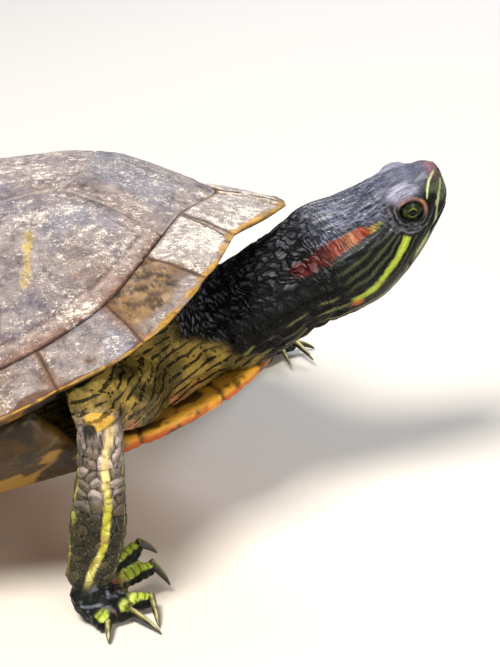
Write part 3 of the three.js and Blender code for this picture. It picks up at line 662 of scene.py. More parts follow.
def rim_colour(shell, edge, relief, back, outer, seed):
    """Each scute's own markings, pale in front and the third brown and pitted, and painted shade that makes
    all of them dark below.
    """
    which = np.floor(back)
    inside = back - which
    wander = 0.35 * noise(shell, 6, seed + 1)
    third = (which == 2) * fall(0.44, 0.56, outer + wander * 0.3)
    crack = fall(0.03, 0.1, np.abs(rough(shell, (7, 3, 3), seed + 18, 3)))
    blue = (which == 3) * step(0.2, 0.6, 1 - np.hypot((inside - 0.2) / 0.3, (outer - 0.6) / 0.5))
    joint = np.minimum(inside, 1 - inside) + 0.06 * noise(shell, 4, seed + 10)
    gold = gilt(shell, back, outer, seed) * fall(1.15, 1.35, outer)
    line, strip = old_strip(shell, back, outer, seed)
    below = step(1.15, 1.4, outer)
    patch = below * step(0.0, 0.12, 0.2 - np.abs(inside - 0.5) + 0.1 * noise(shell, 4, seed + 9))
    patch = np.maximum(patch, below * step(0.35, 0.5, noise(shell, (9, 2, 2), seed + 11)))
    return coats(
        horn_colour(shell, seed, relief),
        ("#a39b96", 0.5 * ((which <= 1) + 0.3 * (which == 3))),
        ("#8c6c3f", 0.9 * third),
        ("#b3a183", 0.7 * third * step(0.0, 0.5, rough(shell, 2.4, seed + 13, 2))),
        ("#2c1f14", 0.9 * third * step(0.16, 0.34, rough(shell, (3.4, 2, 1.6), seed + 3, 3))),
        ("#3c2b1b", 0.8 * third * crack),
        ("#6f7a92", 0.6 * blue),
        ("#8a6a3d", 0.6 * (which >= 4) * step(-0.1, 0.5, 0.8 * noise(shell, 8, seed + 6))),
        ("#7d5a3c", 0.7 * (which >= 1) * fall(0.03, 0.14, joint)),
        ("#6d4a2e", 0.85 * chipped(shell, back, outer, seed)),
        ("#a5894f", 0.75 * strip * step(-0.5, 0.3, noise(shell, 3, seed + 19))),
        ("#4a3626", 0.9 * line),
        ("#c99a38", 0.92 * gold * step(-0.8, 0.0, noise(shell, 5, seed + 12))),
        ("#5a3d1c", 0.7 * gold * step(0.2, 0.5, noise(shell, 2.5, seed + 14))),
        ("#b38a3a", 0.8 * (back < 0.5) * fall(0.5, 1.3, edge)),
        ("#3d2b22", 0.9 * fall(0.15, 0.55, edge)),
        # the underside of the rim, near black: painted shade
        ("#241c12", 0.95 * below),
        ("#a8762c", 0.75 * patch * fall(1.8, 2.1, outer)))


EDGE_START, TAIL_GAP = CERVICAL_REACH + 0.012, 0.005
for solid, start, end, per_scute, seed in (
    ("cervical", -CERVICAL_REACH, CERVICAL_REACH, 40, 210),
    ("marginals_left", EDGE_START, ROUND_TRIP / 2 - TAIL_GAP, 40, 220),
    ("marginals_right", ROUND_TRIP / 2 + TAIL_GAP, ROUND_TRIP - EDGE_START, 60, 230),
):
    rim = rim_piece("horn_" + solid, start, end, per_scute, seed)
    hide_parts(solid)
    shell_pieces.append(rim)


# ---------------------------------------------------------------- solids taken from the frame
def weld(solid, grow=0.0):
    """A CAD solid's points, joined up and moved outward by grow, with its triangles."""
    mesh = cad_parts[solid].data
    at = numbers(mesh.vertices, "co", 3).astype(float)
    key = np.round(at * 1e6).astype(np.int64)
    first, owner = np.unique(key, axis=0, return_index=True, return_inverse=True)[1:]
    points = drawn(at[first])
    faces = np.array([owner.ravel()[list(f.vertices)] for f in mesh.polygons])
    normal = np.cross(points[faces[:, 1]] - points[faces[:, 0]], points[faces[:, 2]] - points[faces[:, 0]])
    spread = np.zeros_like(points)
    for k in range(3):
        np.add.at(spread, faces[:, k], normal)
    return points + grow * unit(spread), faces.tolist()


def apply_modifiers(obj):
    deps = bpy.context.evaluated_depsgraph_get()
    mesh = bpy.data.meshes.new_from_object(obj.evaluated_get(deps))
    obj.modifiers.clear()
    obj.data = mesh


def fuse(name, parts, voxel):
    """One closed skin round several closed solids, as a mesh object with even faces."""
    points, faces = [], []
    for part, rows in parts:
        start = sum(len(p) for p in points)
        points.append(part)
        faces += [[start + i for i in f] for f in rows]
    obj = make(name, np.vstack(points), faces)
    remesh = obj.modifiers.new("fuse", "REMESH")
    remesh.mode = "VOXEL"
    remesh.voxel_size = voxel / 1000
    apply_modifiers(obj)
    obj.data.shade_smooth()
    return obj


def points_of(obj):
    return drawn(numbers(obj.data.vertices, "co", 3))


def put_points(obj, points):
    """Move the mesh to new points of the drawing frame."""
    obj.data.vertices.foreach_set("co", metres(points).astype(np.float32).ravel())
    obj.data.update()


def edges_of(obj):
    return numbers(obj.data.edges, "vertices", 2, np.int32)


def normals_of(obj):
    return numbers(obj.data.vertex_normals, "vector", 3).astype(float)


def relax(points, edges, rounds, strength):
    """Even out the surface; strength is a number, or one for each point."""
    count = np.bincount(edges.ravel(), minlength=len(points))[:, None]
    strength = np.broadcast_to(strength, len(points))[:, None]
    for _ in range(rounds):
        total = np.stack([
            np.bincount(edges[:, 0], points[edges[:, 1], k], len(points))
            + np.bincount(edges[:, 1], points[edges[:, 0], k], len(points)) for k in range(3)], axis=-1)
        points = points + strength * (total / np.maximum(1, count) - points)
    return points


def bake_map(obj):
    """Cut and flatten the mesh into its bake map."""
    bpy.context.view_layer.objects.active = obj
    obj.select_set(True)
    obj.data.uv_layers.new(name=UV)
    bpy.ops.object.mode_set(mode="EDIT")
    bpy.ops.mesh.select_all(action="SELECT")
    bpy.ops.uv.smart_project(angle_limit=math.radians(66), island_margin=0.001)
    bpy.ops.object.mode_set(mode="OBJECT")
    obj.select_set(False)


def refine(obj, chosen):
    """Halve the faces whose middle is chosen."""
    mesh = bmesh.new()
    mesh.from_mesh(obj.data)
    middle = drawn(np.array([f.calc_center_median() for f in mesh.faces]))
    pick = chosen(middle)
    edges = {e for f, wanted in zip(mesh.faces, pick) if wanted for e in f.edges}
    bmesh.ops.subdivide_edges(mesh, edges=list(edges), cuts=1, use_grid_fill=True)
    mesh.to_mesh(obj.data)
    mesh.free()
    obj.data.shade_smooth()


# ---------------------------------------------------------------- the plastron
PLASTRON_SEAMS = [
    [(73.5, 27.6), (62, 0)], [(50, 41), (45, 0)], [(9, 60), (6, 0)],
    [(-36, 60), (-38, 0)], [(-64, 33), (-70, 0)], [(90, 0), (-86, 0)]]


PLASTRON_RING = 2.6


def plastron(solid, voxel, seed):
    """One plate of the plastron, with its seams, rings and dark smudges."""
    obj = fuse("horn_" + solid, [weld(solid)], voxel)
    at = relax(points_of(obj), edges_of(obj), 4, 0.5)
    put_points(obj, at)
    shell = unlift(at)
    facing = normals_of(obj)[:, 2]
    plan = np.column_stack([shell[:, 0], np.abs(shell[:, 1]), np.zeros(len(shell))])
    gap = np.min([near_line(plan, [(x, y, 0) for x, y in line])[0] for line in PLASTRON_SEAMS], axis=0)
    ring = (gap + 0.8 * noise(shell, 8, seed)) / PLASTRON_RING
    saw = ring - np.floor(ring)
    rings = np.minimum(saw / 0.7, (1 - saw) / 0.3)
    relief = 0.16 * rings + 0.12 * rough(shell, 3, seed + 1) - 0.5 * fall(0, 1.1, gap)
    place = at + normals_of(obj) * relief[:, None]
    place[:, 2] = np.maximum(place[:, 2], FLOOR_GAP)
    put_points(obj, place)
    smudge = step(0.05, 0.3, noise(shell, (9, 6, 6), seed + 4) + 0.5 * noise(shell, 3, seed + 5) - 0.1)
    brim = edge_of_lobe(shell[:, 0]) - np.abs(shell[:, 1])
    rim = fall(0.4, 4 + noise(shell, 5, seed + 6), brim)
    rim = rim * fall(-0.25, 0.4, facing + 0.25 * noise(shell, 6, seed + 11))
    fleck = step(0.4, 0.6, noise(shell, (2.4, 1.2, 1.2), seed + 8))
    # the bridge up to the rim is nearly black, partly its own dark markings and partly painted shade, with
    # golden streaks along it
    bridge = step(41, 47, np.abs(shell[:, 1])) * (np.abs(shell[:, 0] - 3) < 60) * step(-0.97, -0.88, facing)
    slope = shell @ np.array([[0.85, 0, -0.53], [0, 1, 0], [0.53, 0, 0.85]])
    streaks = noise(slope + 2 * noise(shell, 9, seed + 12)[:, None], (16, 9, 2.1), seed + 13)
    carry(obj, {"tint": coats(
        plain("#c07a22", at),
        ("#d9a13e", step(-0.1, 0.5, rough(shell, 9, seed + 2))),
        ("#9a5217", 0.7 * step(0.1, 0.6, rough(shell, 4, seed + 3))),
        # paler yellow where the plate faces up: painted light
        ("#dda93f", 0.75 * step(0.1, 0.6, facing + 0.3 * noise(shell, 5, seed + 10))),
        ("#2a1c12", 0.85 * smudge * np.maximum(step(3, 7, gap), step(0.0, 0.4, facing))),
        ("#9c3a1a", 0.85 * rim * step(-0.9, 0.1, noise(shell, 7, seed + 7))),
        ("#2e1c12", 0.75 * fleck * step(-0.3, 0.3, noise(shell, 9, seed + 9))),
        # near black over the bridge: dark markings with painted shade laid in
        ("#15110a", 0.95 * bridge),
        ("#94702c", 0.85 * bridge * step(0.2, 0.3, streaks)),
        ("#4f4a2c", 0.7 * bridge * bump(-0.25, 0.05, streaks)),
        ("#2c1d14", 0.85 * fall(0.15, 0.9, gap) * (1 - bridge)))})
    bake_map(obj)
    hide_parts(solid)
    return obj


def edge_of_lobe(x):
    """Half the breadth of the plastron's free lobes; the bridge between them has no edge."""
    rows = np.array([
        (-84, 11), (-79, 19), (-72, 26.5), (-62, 33), (-50, 37.5), (-38, 41), (-37, 200), (42, 200),
        (42.3, 41.8), (55, 38), (66, 32.5), (73.5, 27.6), (77, 24.5), (82, 18), (86, 11), (88, 5)])
    return np.interp(x, rows[:, 0], rows[:, 1])


plastron_pieces = [
    plastron("plastron_front", 0.8, 300), plastron("plastron_middle", 1.3, 310),
    plastron("plastron_rear", 1.2, 320)]


# ---------------------------------------------------------------- the head frame
HEAD_AT = np.array([206.8, -0.6, 101.2])
HEAD_TURN = np.array(
    Matrix.Rotation(math.radians(4), 3, "Z")
    @ Matrix.Rotation(math.radians(-28.5), 3, "Y")
    @ Matrix.Rotation(math.radians(12.5), 3, "X"))
# How far back, top, bottom, half width and squareness of the head's sections.
HEAD = [
    (-0.2, -0.8, -6.8, 2.4, 0.9), (-1.3, 0.2, -9.6, 4.2, 0.9), (-3, 0.8, -13, 6.6, 0.86),
    (-6, 1.5, -15.2, 8.8, 0.84), (-10, 2.3, -17.4, 11, 0.82), (-15, 2.7, -20.4, 13.2, 0.84),
    (-20, 2.8, -22.8, 14.7, 0.86), (-26, 3, -25.4, 16, 0.9), (-32, 4, -27.6, 16.7, 0.95),
    (-38, 4.8, -27.8, 16.8, 1)]
EYE = np.array([-12.3, 7.4, -3.9])
EYE_RADIUS = 4.3
LID_TILT = math.radians(34)
LID_LONG, LID_TALL = 3.05, 2.95


def in_head(points):
    """From the drawing frame to the head's own frame."""
    return (np.asarray(points, float) - HEAD_AT) @ HEAD_TURN


def from_head(points):
    return HEAD_AT + np.asarray(points, float) @ HEAD_TURN.T


def squared(v, power):
    """A sine or cosine with its curve made fuller, for a section between an oval and a box."""
    return np.sign(v) * np.abs(v) ** power


def head_solid(sides=48, count=40):
    """The smooth core of the head, before its folds are raised."""
    rows = smooth_profile(np.array([HEAD], float), count)[0]
    turn = full_turn(sides)
    x, top, low, half, square = (rows[:, k, None] for k in range(5))
    taper = 1 - 0.16 * np.minimum(0, np.sin(turn)) ** 2
    y = half * squared(np.cos(turn), square) * taper
    z = (top + low) / 2 + (top - low) / 2 * squared(np.sin(turn), square)
    ring = np.stack([np.broadcast_to(x, y.shape), y, z], axis=-1).reshape(-1, 3)
    return from_head(ring), tube_faces(count, sides)


def ball(centre, radii, sides=24):
    """A closed egg shape."""
    rows = sides // 2
    a, b = np.meshgrid(np.linspace(0, math.pi, rows + 1)[1:-1], full_turn(sides), indexing="ij")
    p = np.stack([np.sin(a) * np.cos(b), np.sin(a) * np.sin(b), np.cos(a)], axis=-1).reshape(-1, 3)
    n = len(p)
    p = np.vstack([p, [0, 0, 1], [0, 0, -1]])
    faces = grid_faces(rows - 1, sides, wrap=True).tolist()
    faces += [[n, (i + 1) % sides, i] for i in range(sides)]
    faces += [[n + 1, n - sides + i, n - sides + (i + 1) % sides] for i in range(sides)]
    return np.asarray(centre) + p * radii, faces


def strand(path, radii, sides=16):
    """A closed tapering body along a line of points, for folds of flesh."""
    path = np.asarray(path, float)
    along = unit(np.gradient(path, axis=0))
    side = unit(np.cross(along, [0.1, 0.2, 1]))
    up = np.cross(along, side)
    turn = full_turn(sides)[None, :, None]
    radii = np.asarray(radii, float)[:, None, None]
    ring = path[:, None] + radii * (np.cos(turn) * side[:, None] + np.sin(turn) * up[:, None])
    return ring.reshape(-1, 3), tube_faces(len(path), sides)


# ---------------------------------------------------------------- the skin, one piece over all the flesh
# Middle lines of the legs from body to wrist, and each toe from its root to its tip.
LEGS = {
    "front_right": [
        (113, -52, 54), (114, -65, 57), (114, -67.4, 50), (113.3, -67.8, 39), (112.8, -68, 28),
        (107.2, -68.2, 10.4)],
    "front_left": [
        (119, 52, 44), (126, 69, 44), (130, 75, 36), (135, 80.5, 28), (140, 86, 20), (146.4, 93.4, 9.8)],
    "hind_right": [(24, -51, 24.3), (29.6, -66, 22.2), (22.6, -69, 19.4), (14, -72, 14), (7, -74, 9.4)],
    "hind_left": [(21, 51, 20.7), (26.6, 66, 20.2), (19.6, 69, 15.8), (11, 72, 11.8), (4, 74, 9.4)],
}
TOES = {
    "front_right": [
        [(109.5, -64.5, 9.6), (120.6, -56.4, 14)], [(112, -65, 6.4), (123.6, -59.2, 9)],
        [(114, -67, 4), (122.8, -67, 3.6)], [(112, -69.5, 3.4), (118, -71.4, 2.9)],
        [(107.6, -70, 3.6), (112.2, -76, 2.6)]],
    "front_left": [
        [(152, 95.5, 4.6), (160.6, 99, 6.4)], [(154, 98, 4.4), (166, 101.8, 6)],
        [(156, 101, 3.6), (167, 106.6, 3.4)], [(154, 103, 3.4), (163, 112, 2.9)],
        [(149.4, 101.4, 3.6), (154.6, 112, 2.6)]]}
HIND_TOES = np.array([
    [(18, 85, 3), (26.4, 91.4, 2.9)], [(16.4, 88, 3), (23, 97.8, 2.9)], [(13, 89, 3), (16.8, 100.4, 2.9)],
    [(9.6, 88, 3), (9.8, 98.8, 2.7)]])
TOES["hind_right"] = (HIND_TOES + [-5, 0, 0]) * [1, -1, 1]
TOES["hind_left"] = HIND_TOES + [-8, 0, 0]
NECK_LINE = np.vstack([
    [(126, -0.6, 48), (134, -0.9, 49), (145, -1.2, 54.4), (156, -2, 61.8), (165.5, -2.8, 68.2)],
    from_head([(-38, 0, -11.5), (-26, 0, -11), (-12, 0, -7.5), (-1, 0, -4.5)])])
LEG_PARTS = ("upper_leg", "lower_leg", "foot")
FLESH_SWELL, SKIN_VOXEL = 0.28, 0.85
PLAIN_SHARE, HIDDEN_SHARE = 0.36, 0.15
FLESH = ["trunk", "neck", "tail"] + [f"{leg}_{part}" for leg in LEGS for part in LEG_PARTS]


def skin_solids():
    """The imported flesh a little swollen, with the head, lids and folds added."""
    parts = [weld(solid, FLESH_SWELL) for solid in FLESH]
    parts.append(head_solid())
    for side in (-1, 1):
        spot = (EYE - [0, 0.5, 0]) * [1, side, 1]
        lid, faces = ball(spot, np.array([1.1, 1, 0.98]) * 5.4)
        parts.append((from_head(lid), faces))
        # loose skin from the neck's root out to the shoulder, which stands lower on the left
        drop = 3 + 3 * side
        fold = [
            (118, 20 * side, 47), (121, 32 * side, 50), (119, 44 * side, 53 - drop),
            (116.5, 54 * side, 57 - 1.4 * drop), (114.5, 62 * side, 58 - 1.8 * drop)]
        parts.append(strand(fold, [9, 10.5, 9.5, 8.4, 6]))
    # the skin hanging from the rim to the right elbow, and the fringe of scales behind the forearm
    hanging = [(111, -46, 62), (111.6, -55, 61), (113, -62, 57.5), (113.6, -65.5, 52)]
    parts.append(strand(hanging, [8, 8, 7.6, 6.2]))
    fringe = [(107.6, -69.8, 39), (106.3, -70, 31), (105.6, -70, 25), (104.8, -69.8, 17), (105.4, -69.6, 8.6)]
    parts.append(strand(fringe, [1.2, 1.7, 1.9, 2.0, 1.6], 10))
    return parts


skin = fuse("skin", skin_solids(), SKIN_VOXEL)


def thin(obj, chosen, share):
    """Coarser faces where the shape is plain or the shell covers it."""
    group = obj.vertex_groups.new(name="plain")
    group.add(np.flatnonzero(chosen).tolist(), 1.0, "REPLACE")
    fewer = obj.modifiers.new("thin", "DECIMATE")
    fewer.ratio = share
    fewer.vertex_group = "plain"
    apply_modifiers(obj)
    obj.vertex_groups.clear()


def out_of_sight(points):
    """Flesh that lies under the shell, where nothing can be seen of it."""
    deep = unlift(points)
    under_horn = (np.abs(deep[:, 0] + 9) < 54) & (np.abs(deep[:, 1]) < 70) & (deep[:, 2] > 4)
    return under_horn | ((np.abs(deep[:, 0]) < 74) & (deep[:, 2] > 44))


def at_a_foot(points):
    gaps = [np.linalg.norm((points - LEGS[leg][-1]) * [1, 1, 0.6], axis=1) for leg in LEGS]
    return np.min(gaps, axis=0) < 24


at = points_of(skin)
feet = at_a_foot(at)
at = relax(at, edges_of(skin), 12, 0.5 - 0.32 * feet)
put_points(skin, at)
thin(skin, ~feet, PLAIN_SHARE)
thin(skin, out_of_sight(points_of(skin)), HIDDEN_SHARE)
bake_map(skin)


def finer(p):
    """The neck and head, the near foreleg and its armpit, which carry the smallest folds."""
    neck_and_head = (near_line(p, NECK_LINE)[0] < 24) & (p[:, 0] > 140)
    at_foot = (np.linalg.norm(p - [114, -67, 6], axis=1) < 22) & (p[:, 1] < -50)
    near_leg = (near_line(p, LEGS["front_right"])[0] < 12) | at_foot
    axilla = (p[:, 1] < -14) & (p[:, 1] > -70) & (p[:, 0] > 104) & (p[:, 0] < 150) & (unlift(p)[:, 2] < 40)
    return neck_and_head | near_leg | axilla


def finest(p):
    return (in_head(p)[:, 0] > -23) & (np.linalg.norm(p - NECK_LINE[-3], axis=1) < 40)


refine(skin, finer)
refine(skin, finest)


# ---------------------------------------------------------------- where each point of the skin lies
def limb_frame(points, line, start_side, end_side, span=200):
    """How far along a limb each point is, its turn round the limb, and its distance from the middle."""
    path = smooth_profile(np.array([line], float), span)[0]
    tangent = unit(np.gradient(path, axis=0))
    t = np.linspace(0, 1, span)[:, None]
    side = np.asarray(start_side, float) * (1 - t) + np.asarray(end_side, float) * t
    side = unit(side - tangent * np.sum(side * tangent, axis=1, keepdims=True))
    up = np.cross(tangent, side)
    arc = np.append(0, np.cumsum(np.linalg.norm(np.diff(path, axis=0), axis=1)))
    near = np.empty(len(points), int)
    for k in range(0, len(points), 20000):
        block = points[k : k + 20000]
        near[k : k + 20000] = np.argmin(((block[:, None] - path[None]) ** 2).sum(-1), axis=1)
    d = points - path[near]
    u, v = np.sum(d * side[near], axis=1), np.sum(d * up[near], axis=1)
    return arc[near] + np.sum(d * tangent[near], axis=1), np.arctan2(v, u), np.hypot(u, v)


# Millimetres of skin for each radian round the neck and round a leg.
NECK_ROUND, LEG_ROUND = 15, 6.2
# How far forward, and the height there at which the black skin of the neck begins.
NECK_HEM = [118, 136, 146, 150, 157, 163, 170], [62, 59, 57, 54.5, 50.5, 44, 25]
# Length and breadth of a leg's scales.
LEG_SCALE = {"front": (2.9, 4.1, 1), "hind": (2.7, 3.4, 1)}
LEG_STARTS = {"front_right": 14, "front_left": 16, "hind_right": 6, "hind_left": 6}
TOE_BAND = 2.1


def toe_place(name, p):
    """Distance from the nearest toe's middle line and how far along that toe each point is."""
    gap, along = np.full(len(p), 1e9), np.zeros(len(p))
    for line in TOES[name]:
        r, run = near_line(p, line)
        along = np.where(r < gap, run, along)
        gap = np.minimum(gap, r)
    return gap, along


def leg_scales(name, rows):
    """How far inside its scale each point of a leg is, and a number for the scale."""
    return cells(rows, LEG_SCALE[name.split("_")[0]], 420, 0.7)


def leg_place(name, p, spare):
    """One leg's share of the skin: s runs down it, and turn is 0 on its outside and grows toward the front."""
    hand = 1 if "left" in name else -1
    s, turn, r = limb_frame(p, LEGS[name], (0, hand, 0), (0, hand, 0))
    toe_gap, toe_run = toe_place(name, p)
    foot = np.linalg.norm(p - np.array(LEGS[name][-1]) + [-4, 0, 4], axis=1)
    near_foot = fall(22, 28, foot) * fall(9, 15, p[:, 2])
    near_foot = np.maximum(near_foot, fall(3.2, 4.2, toe_gap) * step(6.5, 8.5, r))
    start = LEG_STARTS[name]
    on_leg = fall(9.5, 13.5, r) * step(start, start + 4, s)
    rows = np.column_stack([s, turn * hand * LEG_ROUND, np.zeros(len(p))])
    inside, tag = leg_scales(name, rows)
    foot = near_foot * spare
    return SimpleNamespace(
        s=s, turn=np.degrees(turn) * hand, rows=rows, inside=inside, tag=tag,
        toe_gap=toe_gap, toe_run=toe_run, foot=foot,
        reach=np.maximum(on_leg, near_foot), shaft=on_leg * spare * (1 - near_foot),
        toe=foot * fall(3.0, 3.9, toe_gap) * step(3, 5.5, toe_run),
        bands=np.abs(np.sin(math.pi * (toe_run + 0.5 * noise(p, 2, 547)) / TOE_BAND)))


class Place:
    """Where every point of the skin lies, in the frames that the markings and folds follow.

    Values from 0 to 1 say how much a point belongs to the head, the neck, a leg or the loose skin.
    """

    def __init__(self, points):
        self.p = points
        x, y, z = in_head(points).T
        self.side = np.where(y < 0, -1, 1)
        self.face = np.column_stack([x, np.abs(y), z])
        self.shell = unlift(points)
        self.neck_s, turn, self.neck_r = limb_frame(points, NECK_LINE, (0, 1, 0), HEAD_TURN[:, 1])
        self.neck_up = np.degrees(np.arctan2(np.sin(turn), np.abs(np.cos(turn))))
        self.neck_turn = turn
        self.arc = turn * NECK_ROUND
        self.neck_wrap = np.column_stack([self.neck_s + 0.25 * self.arc, self.arc, np.zeros(len(points))])
        self.neck_scale = cells(self.neck_wrap, (2.1, 1.5, 1), 405, 0.9)[0]
        neck = fall(24, 30, self.neck_r) * step(-4, 4, self.neck_s)
        hem = np.interp(points[:, 0], *NECK_HEM)
        neck = neck * step(-2.2, 2.2, points[:, 2] - hem + 3.2 * rough(points, (15, 9, 2.4), 559, 2))
        self.on_head = step(-44, -36, x) * (self.neck_r < 25) * (points[:, 0] > 150)
        self.on_neck = neck * (1 - self.on_head)
        self.spare = np.clip(1 - self.on_head - self.on_neck, 0, 1)
        # web: how much painted highlight on the pleat backs and painted shade in the creases the neck and nape
        # take, most on top
        high_up = 0.16 + 0.84 * step(0, 46, self.neck_up + 8 * noise(points, 7, 557))
        nape = fall(-36, -27, x + 3 * noise(points, 4, 558))
        self.web = high_up * (self.on_neck + 0.8 * self.on_head * nape)
        top = step(-6, -1, z) * self.on_head
        top = top * step(6.4, 8.6, np.linalg.norm(self.face - EYE, axis=1))
        off_patch = near_line(self.face, RED_PATCH)[0] > 2
        # streaky: where the temple takes painted highlights on its ridges, painted shade in its grooves and
        # painted glints
        self.streaky = top * (1 - 0.5 * step(-20, -15, x)) * off_patch
        crown = 0.5 * top * fall(-21, -13, x + 3 * noise(points, 4, 571))
        self.web = np.maximum(self.web, crown)
        self.striae = rough(self.face + 0.5 * noise(self.face, 5, 409)[:, None], (9, 0.9, 0.9), 402, 2)
        self.legs = {name: leg_place(name, points, self.spare) for name in LEGS}
        self.body = self.spare * (1 - np.max([leg.reach for leg in self.legs.values()], axis=0))
        self.soft = self.body * step(6, 14, points[:, 0])


def lid_shape(face):
    """The skin round the eye.

    For each point: how far it is outside the opening, its distance and direction from the globe's
    centre, its bearing round the eye, and whether it is on the lower side.
    """
    d = face - EYE
    r = np.linalg.norm(d, axis=1)
    dirs = d / np.maximum(r, 1e-6)[:, None]
    u = dirs[:, 0] * math.cos(LID_TILT) - dirs[:, 2] * math.sin(LID_TILT)
    v = dirs[:, 0] * math.sin(LID_TILT) + dirs[:, 2] * math.cos(LID_TILT)
    away = np.degrees(np.arccos(np.clip(dirs[:, 1], -1, 1)))
    around = np.arctan2(v, u)
    corner = 1 + 0.1 * np.abs(np.cos(around)) ** 6
    reach = corner / np.hypot(np.cos(around) / LID_LONG, np.sin(around) / LID_TALL)
    opening = np.degrees(np.arcsin(np.clip(reach / EYE_RADIUS, 0, 0.95)))
    lower = step(0.25, -0.25, np.sin(around))
    flat_gap = np.hypot(d[:, 0], d[:, 2]) - reach
    beyond = (away - opening) * (1 - lower) + 12 * flat_gap * lower
    return beyond, r, dirs, around, lower * (face[:, 1] > 5)


# Lines on the right side of the face, in the head frame with y taken outward.
MOUTH = [
    (1, 0, -10), (-0.6, 0.6, -10.1), (-3, 5, -10.8), (-9, 9, -12.4), (-14, 12, -14.2), (-18, 13.4, -16),
    (-20.5, 14, -17.6)]
ORBIT_FOLD = [
    (-10, 12.4, -9.6), (-14.8, 12.9, -7.5), (-18.6, 13.2, -5.4), (-19.8, 12.6, -2.6), (-20.4, 10.6, -0.6),
    (-20.7, 8.6, 0.8)]
EYE_STRIPE = [
    (-14.6, 13, -6.9), (-15.6, 13.1, -7.4), (-18.9, 14.4, -9.8), (-22.4, 14.9, -11.9), (-26.3, 15.6, -13.4),
    (-31.9, 15.8, -16), (-38, 15.7, -16.4)]
RED_PATCH = [
    (-21.5, 11.7, -1.2), (-25.7, 12.1, -1.3), (-32.3, 11.9, -0.6), (-39.1, 12.8, -0.9), (-50.5, 13.3, -0.2)]
SNOUT_STRIPE = [(-0.6, 2.2, -1), (-2.4, 4, -0.8), (-4.2, 5.9, -1.2), (-5.8, 7.7, -2.4), (-6.9, 8.9, -3.8)]
JAW_STRIPE = [
    (-1.2, 4, -4), (-3.9, 7.2, -6), (-5.6, 8.3, -8), (-7.9, 9.2, -10.7), (-11.1, 9.9, -13.4),
    (-15.6, 11.5, -15.6), (-22, 12.5, -19.6), (-32, 12.6, -22)]
# The pale pinkish fold of skin over the edge of the plastron, in the drawing frame with y taken outward.
LOW_FOLD = [(120.3, 55, 50), (124, 36, 44.5), (129, 31, 44), (136, 26, 45.5), (143, 19, 46.5)]


def mouth_gap(face):
    """Signed height above the mouth line at each point of the face, in its side view."""
    line = np.array(MOUTH)[::-1]
    return face[:, 2] - np.interp(face[:, 0], line[:, 0], line[:, 2])


# ---------------------------------------------------------------- the shape of the skin
def sculpt(at):
    """Draw the lids over the globes, then raise every fold, scale and wrinkle."""
    where = Place(at)
    face = where.face.copy()
    beyond, r, dirs, around, lower = lid_shape(face)
    where.beyond, where.eye_r, where.around = beyond, r, np.degrees(around)
    where.lid = np.clip(lower * (r < 12) + (1 - lower) * (r < 8), 0, 1)
    hood = bump(80, 90, where.around)
    lid = np.interp(beyond, [-60, -1.5, 1.5, 5, 9, 26, 60], [3.75, 3.8, 4.5, 4.88, 4.94, 5.25, 5.5])
    lid = lid + 0.4 * hood * bump(7, 9, beyond) + 0.25 * hood * bump(24, 16, beyond)
    folds = bump(16, 5.5, beyond) + bump(33, 7, beyond)
    lid = lid + 0.3 * folds * (1 - hood)
    fresh = EYE + dirs * lid[:, None]
    hold = fall(20, 40, beyond) * fall(7.4, 9, r) * (dirs[:, 1] > -0.1) * (1 - lower)
    # below, the lid lies back against the cheek in two soft folds
    flat_r = np.hypot(face[:, 0] - EYE[0], face[:, 2] - EYE[2])
    behind = EYE[1] + np.sqrt(np.maximum(0, 3.7 ** 2 - flat_r ** 2))
    globe = EYE[1] + np.sqrt(np.maximum(0, 4.5 ** 2 - flat_r ** 2)) + 0.2
    rise = np.interp(beyond, [2, 11, 19, 29, 50], [11.0, 11.3, 11.5, 12.0, 12.9])
    pouch = np.maximum(np.minimum(rise, face[:, 1]), globe)
    pouch = pouch + 0.34 * bump(15, 6, beyond) + 0.34 * bump(32, 7, beyond) - 0.2 * bump(23, 5, beyond)
    pouch = behind + (pouch - behind) * step(-2.4, 1.8, beyond)
    face[:, 1] += (pouch - face[:, 1]) * lower * fall(30, 50, beyond) * (r < 12)
    face = face + (fresh - face) * hold[:, None]
    at = from_head(np.column_stack([face[:, 0], face[:, 1] * where.side, face[:, 2]]))
    put_points(skin, at)
    out = normals_of(skin)
    where.facing_up = out[:, 2]
    at = at + out * relief_of(where)[:, None]
    at[:, 2] = np.maximum(at[:, 2], FLOOR_GAP)
    return at, where


def relief_of(w):
    """Height of every fold, scale and wrinkle above the smooth skin, in mm."""
    return head_relief(w) + neck_relief(w) + limb_relief(w)


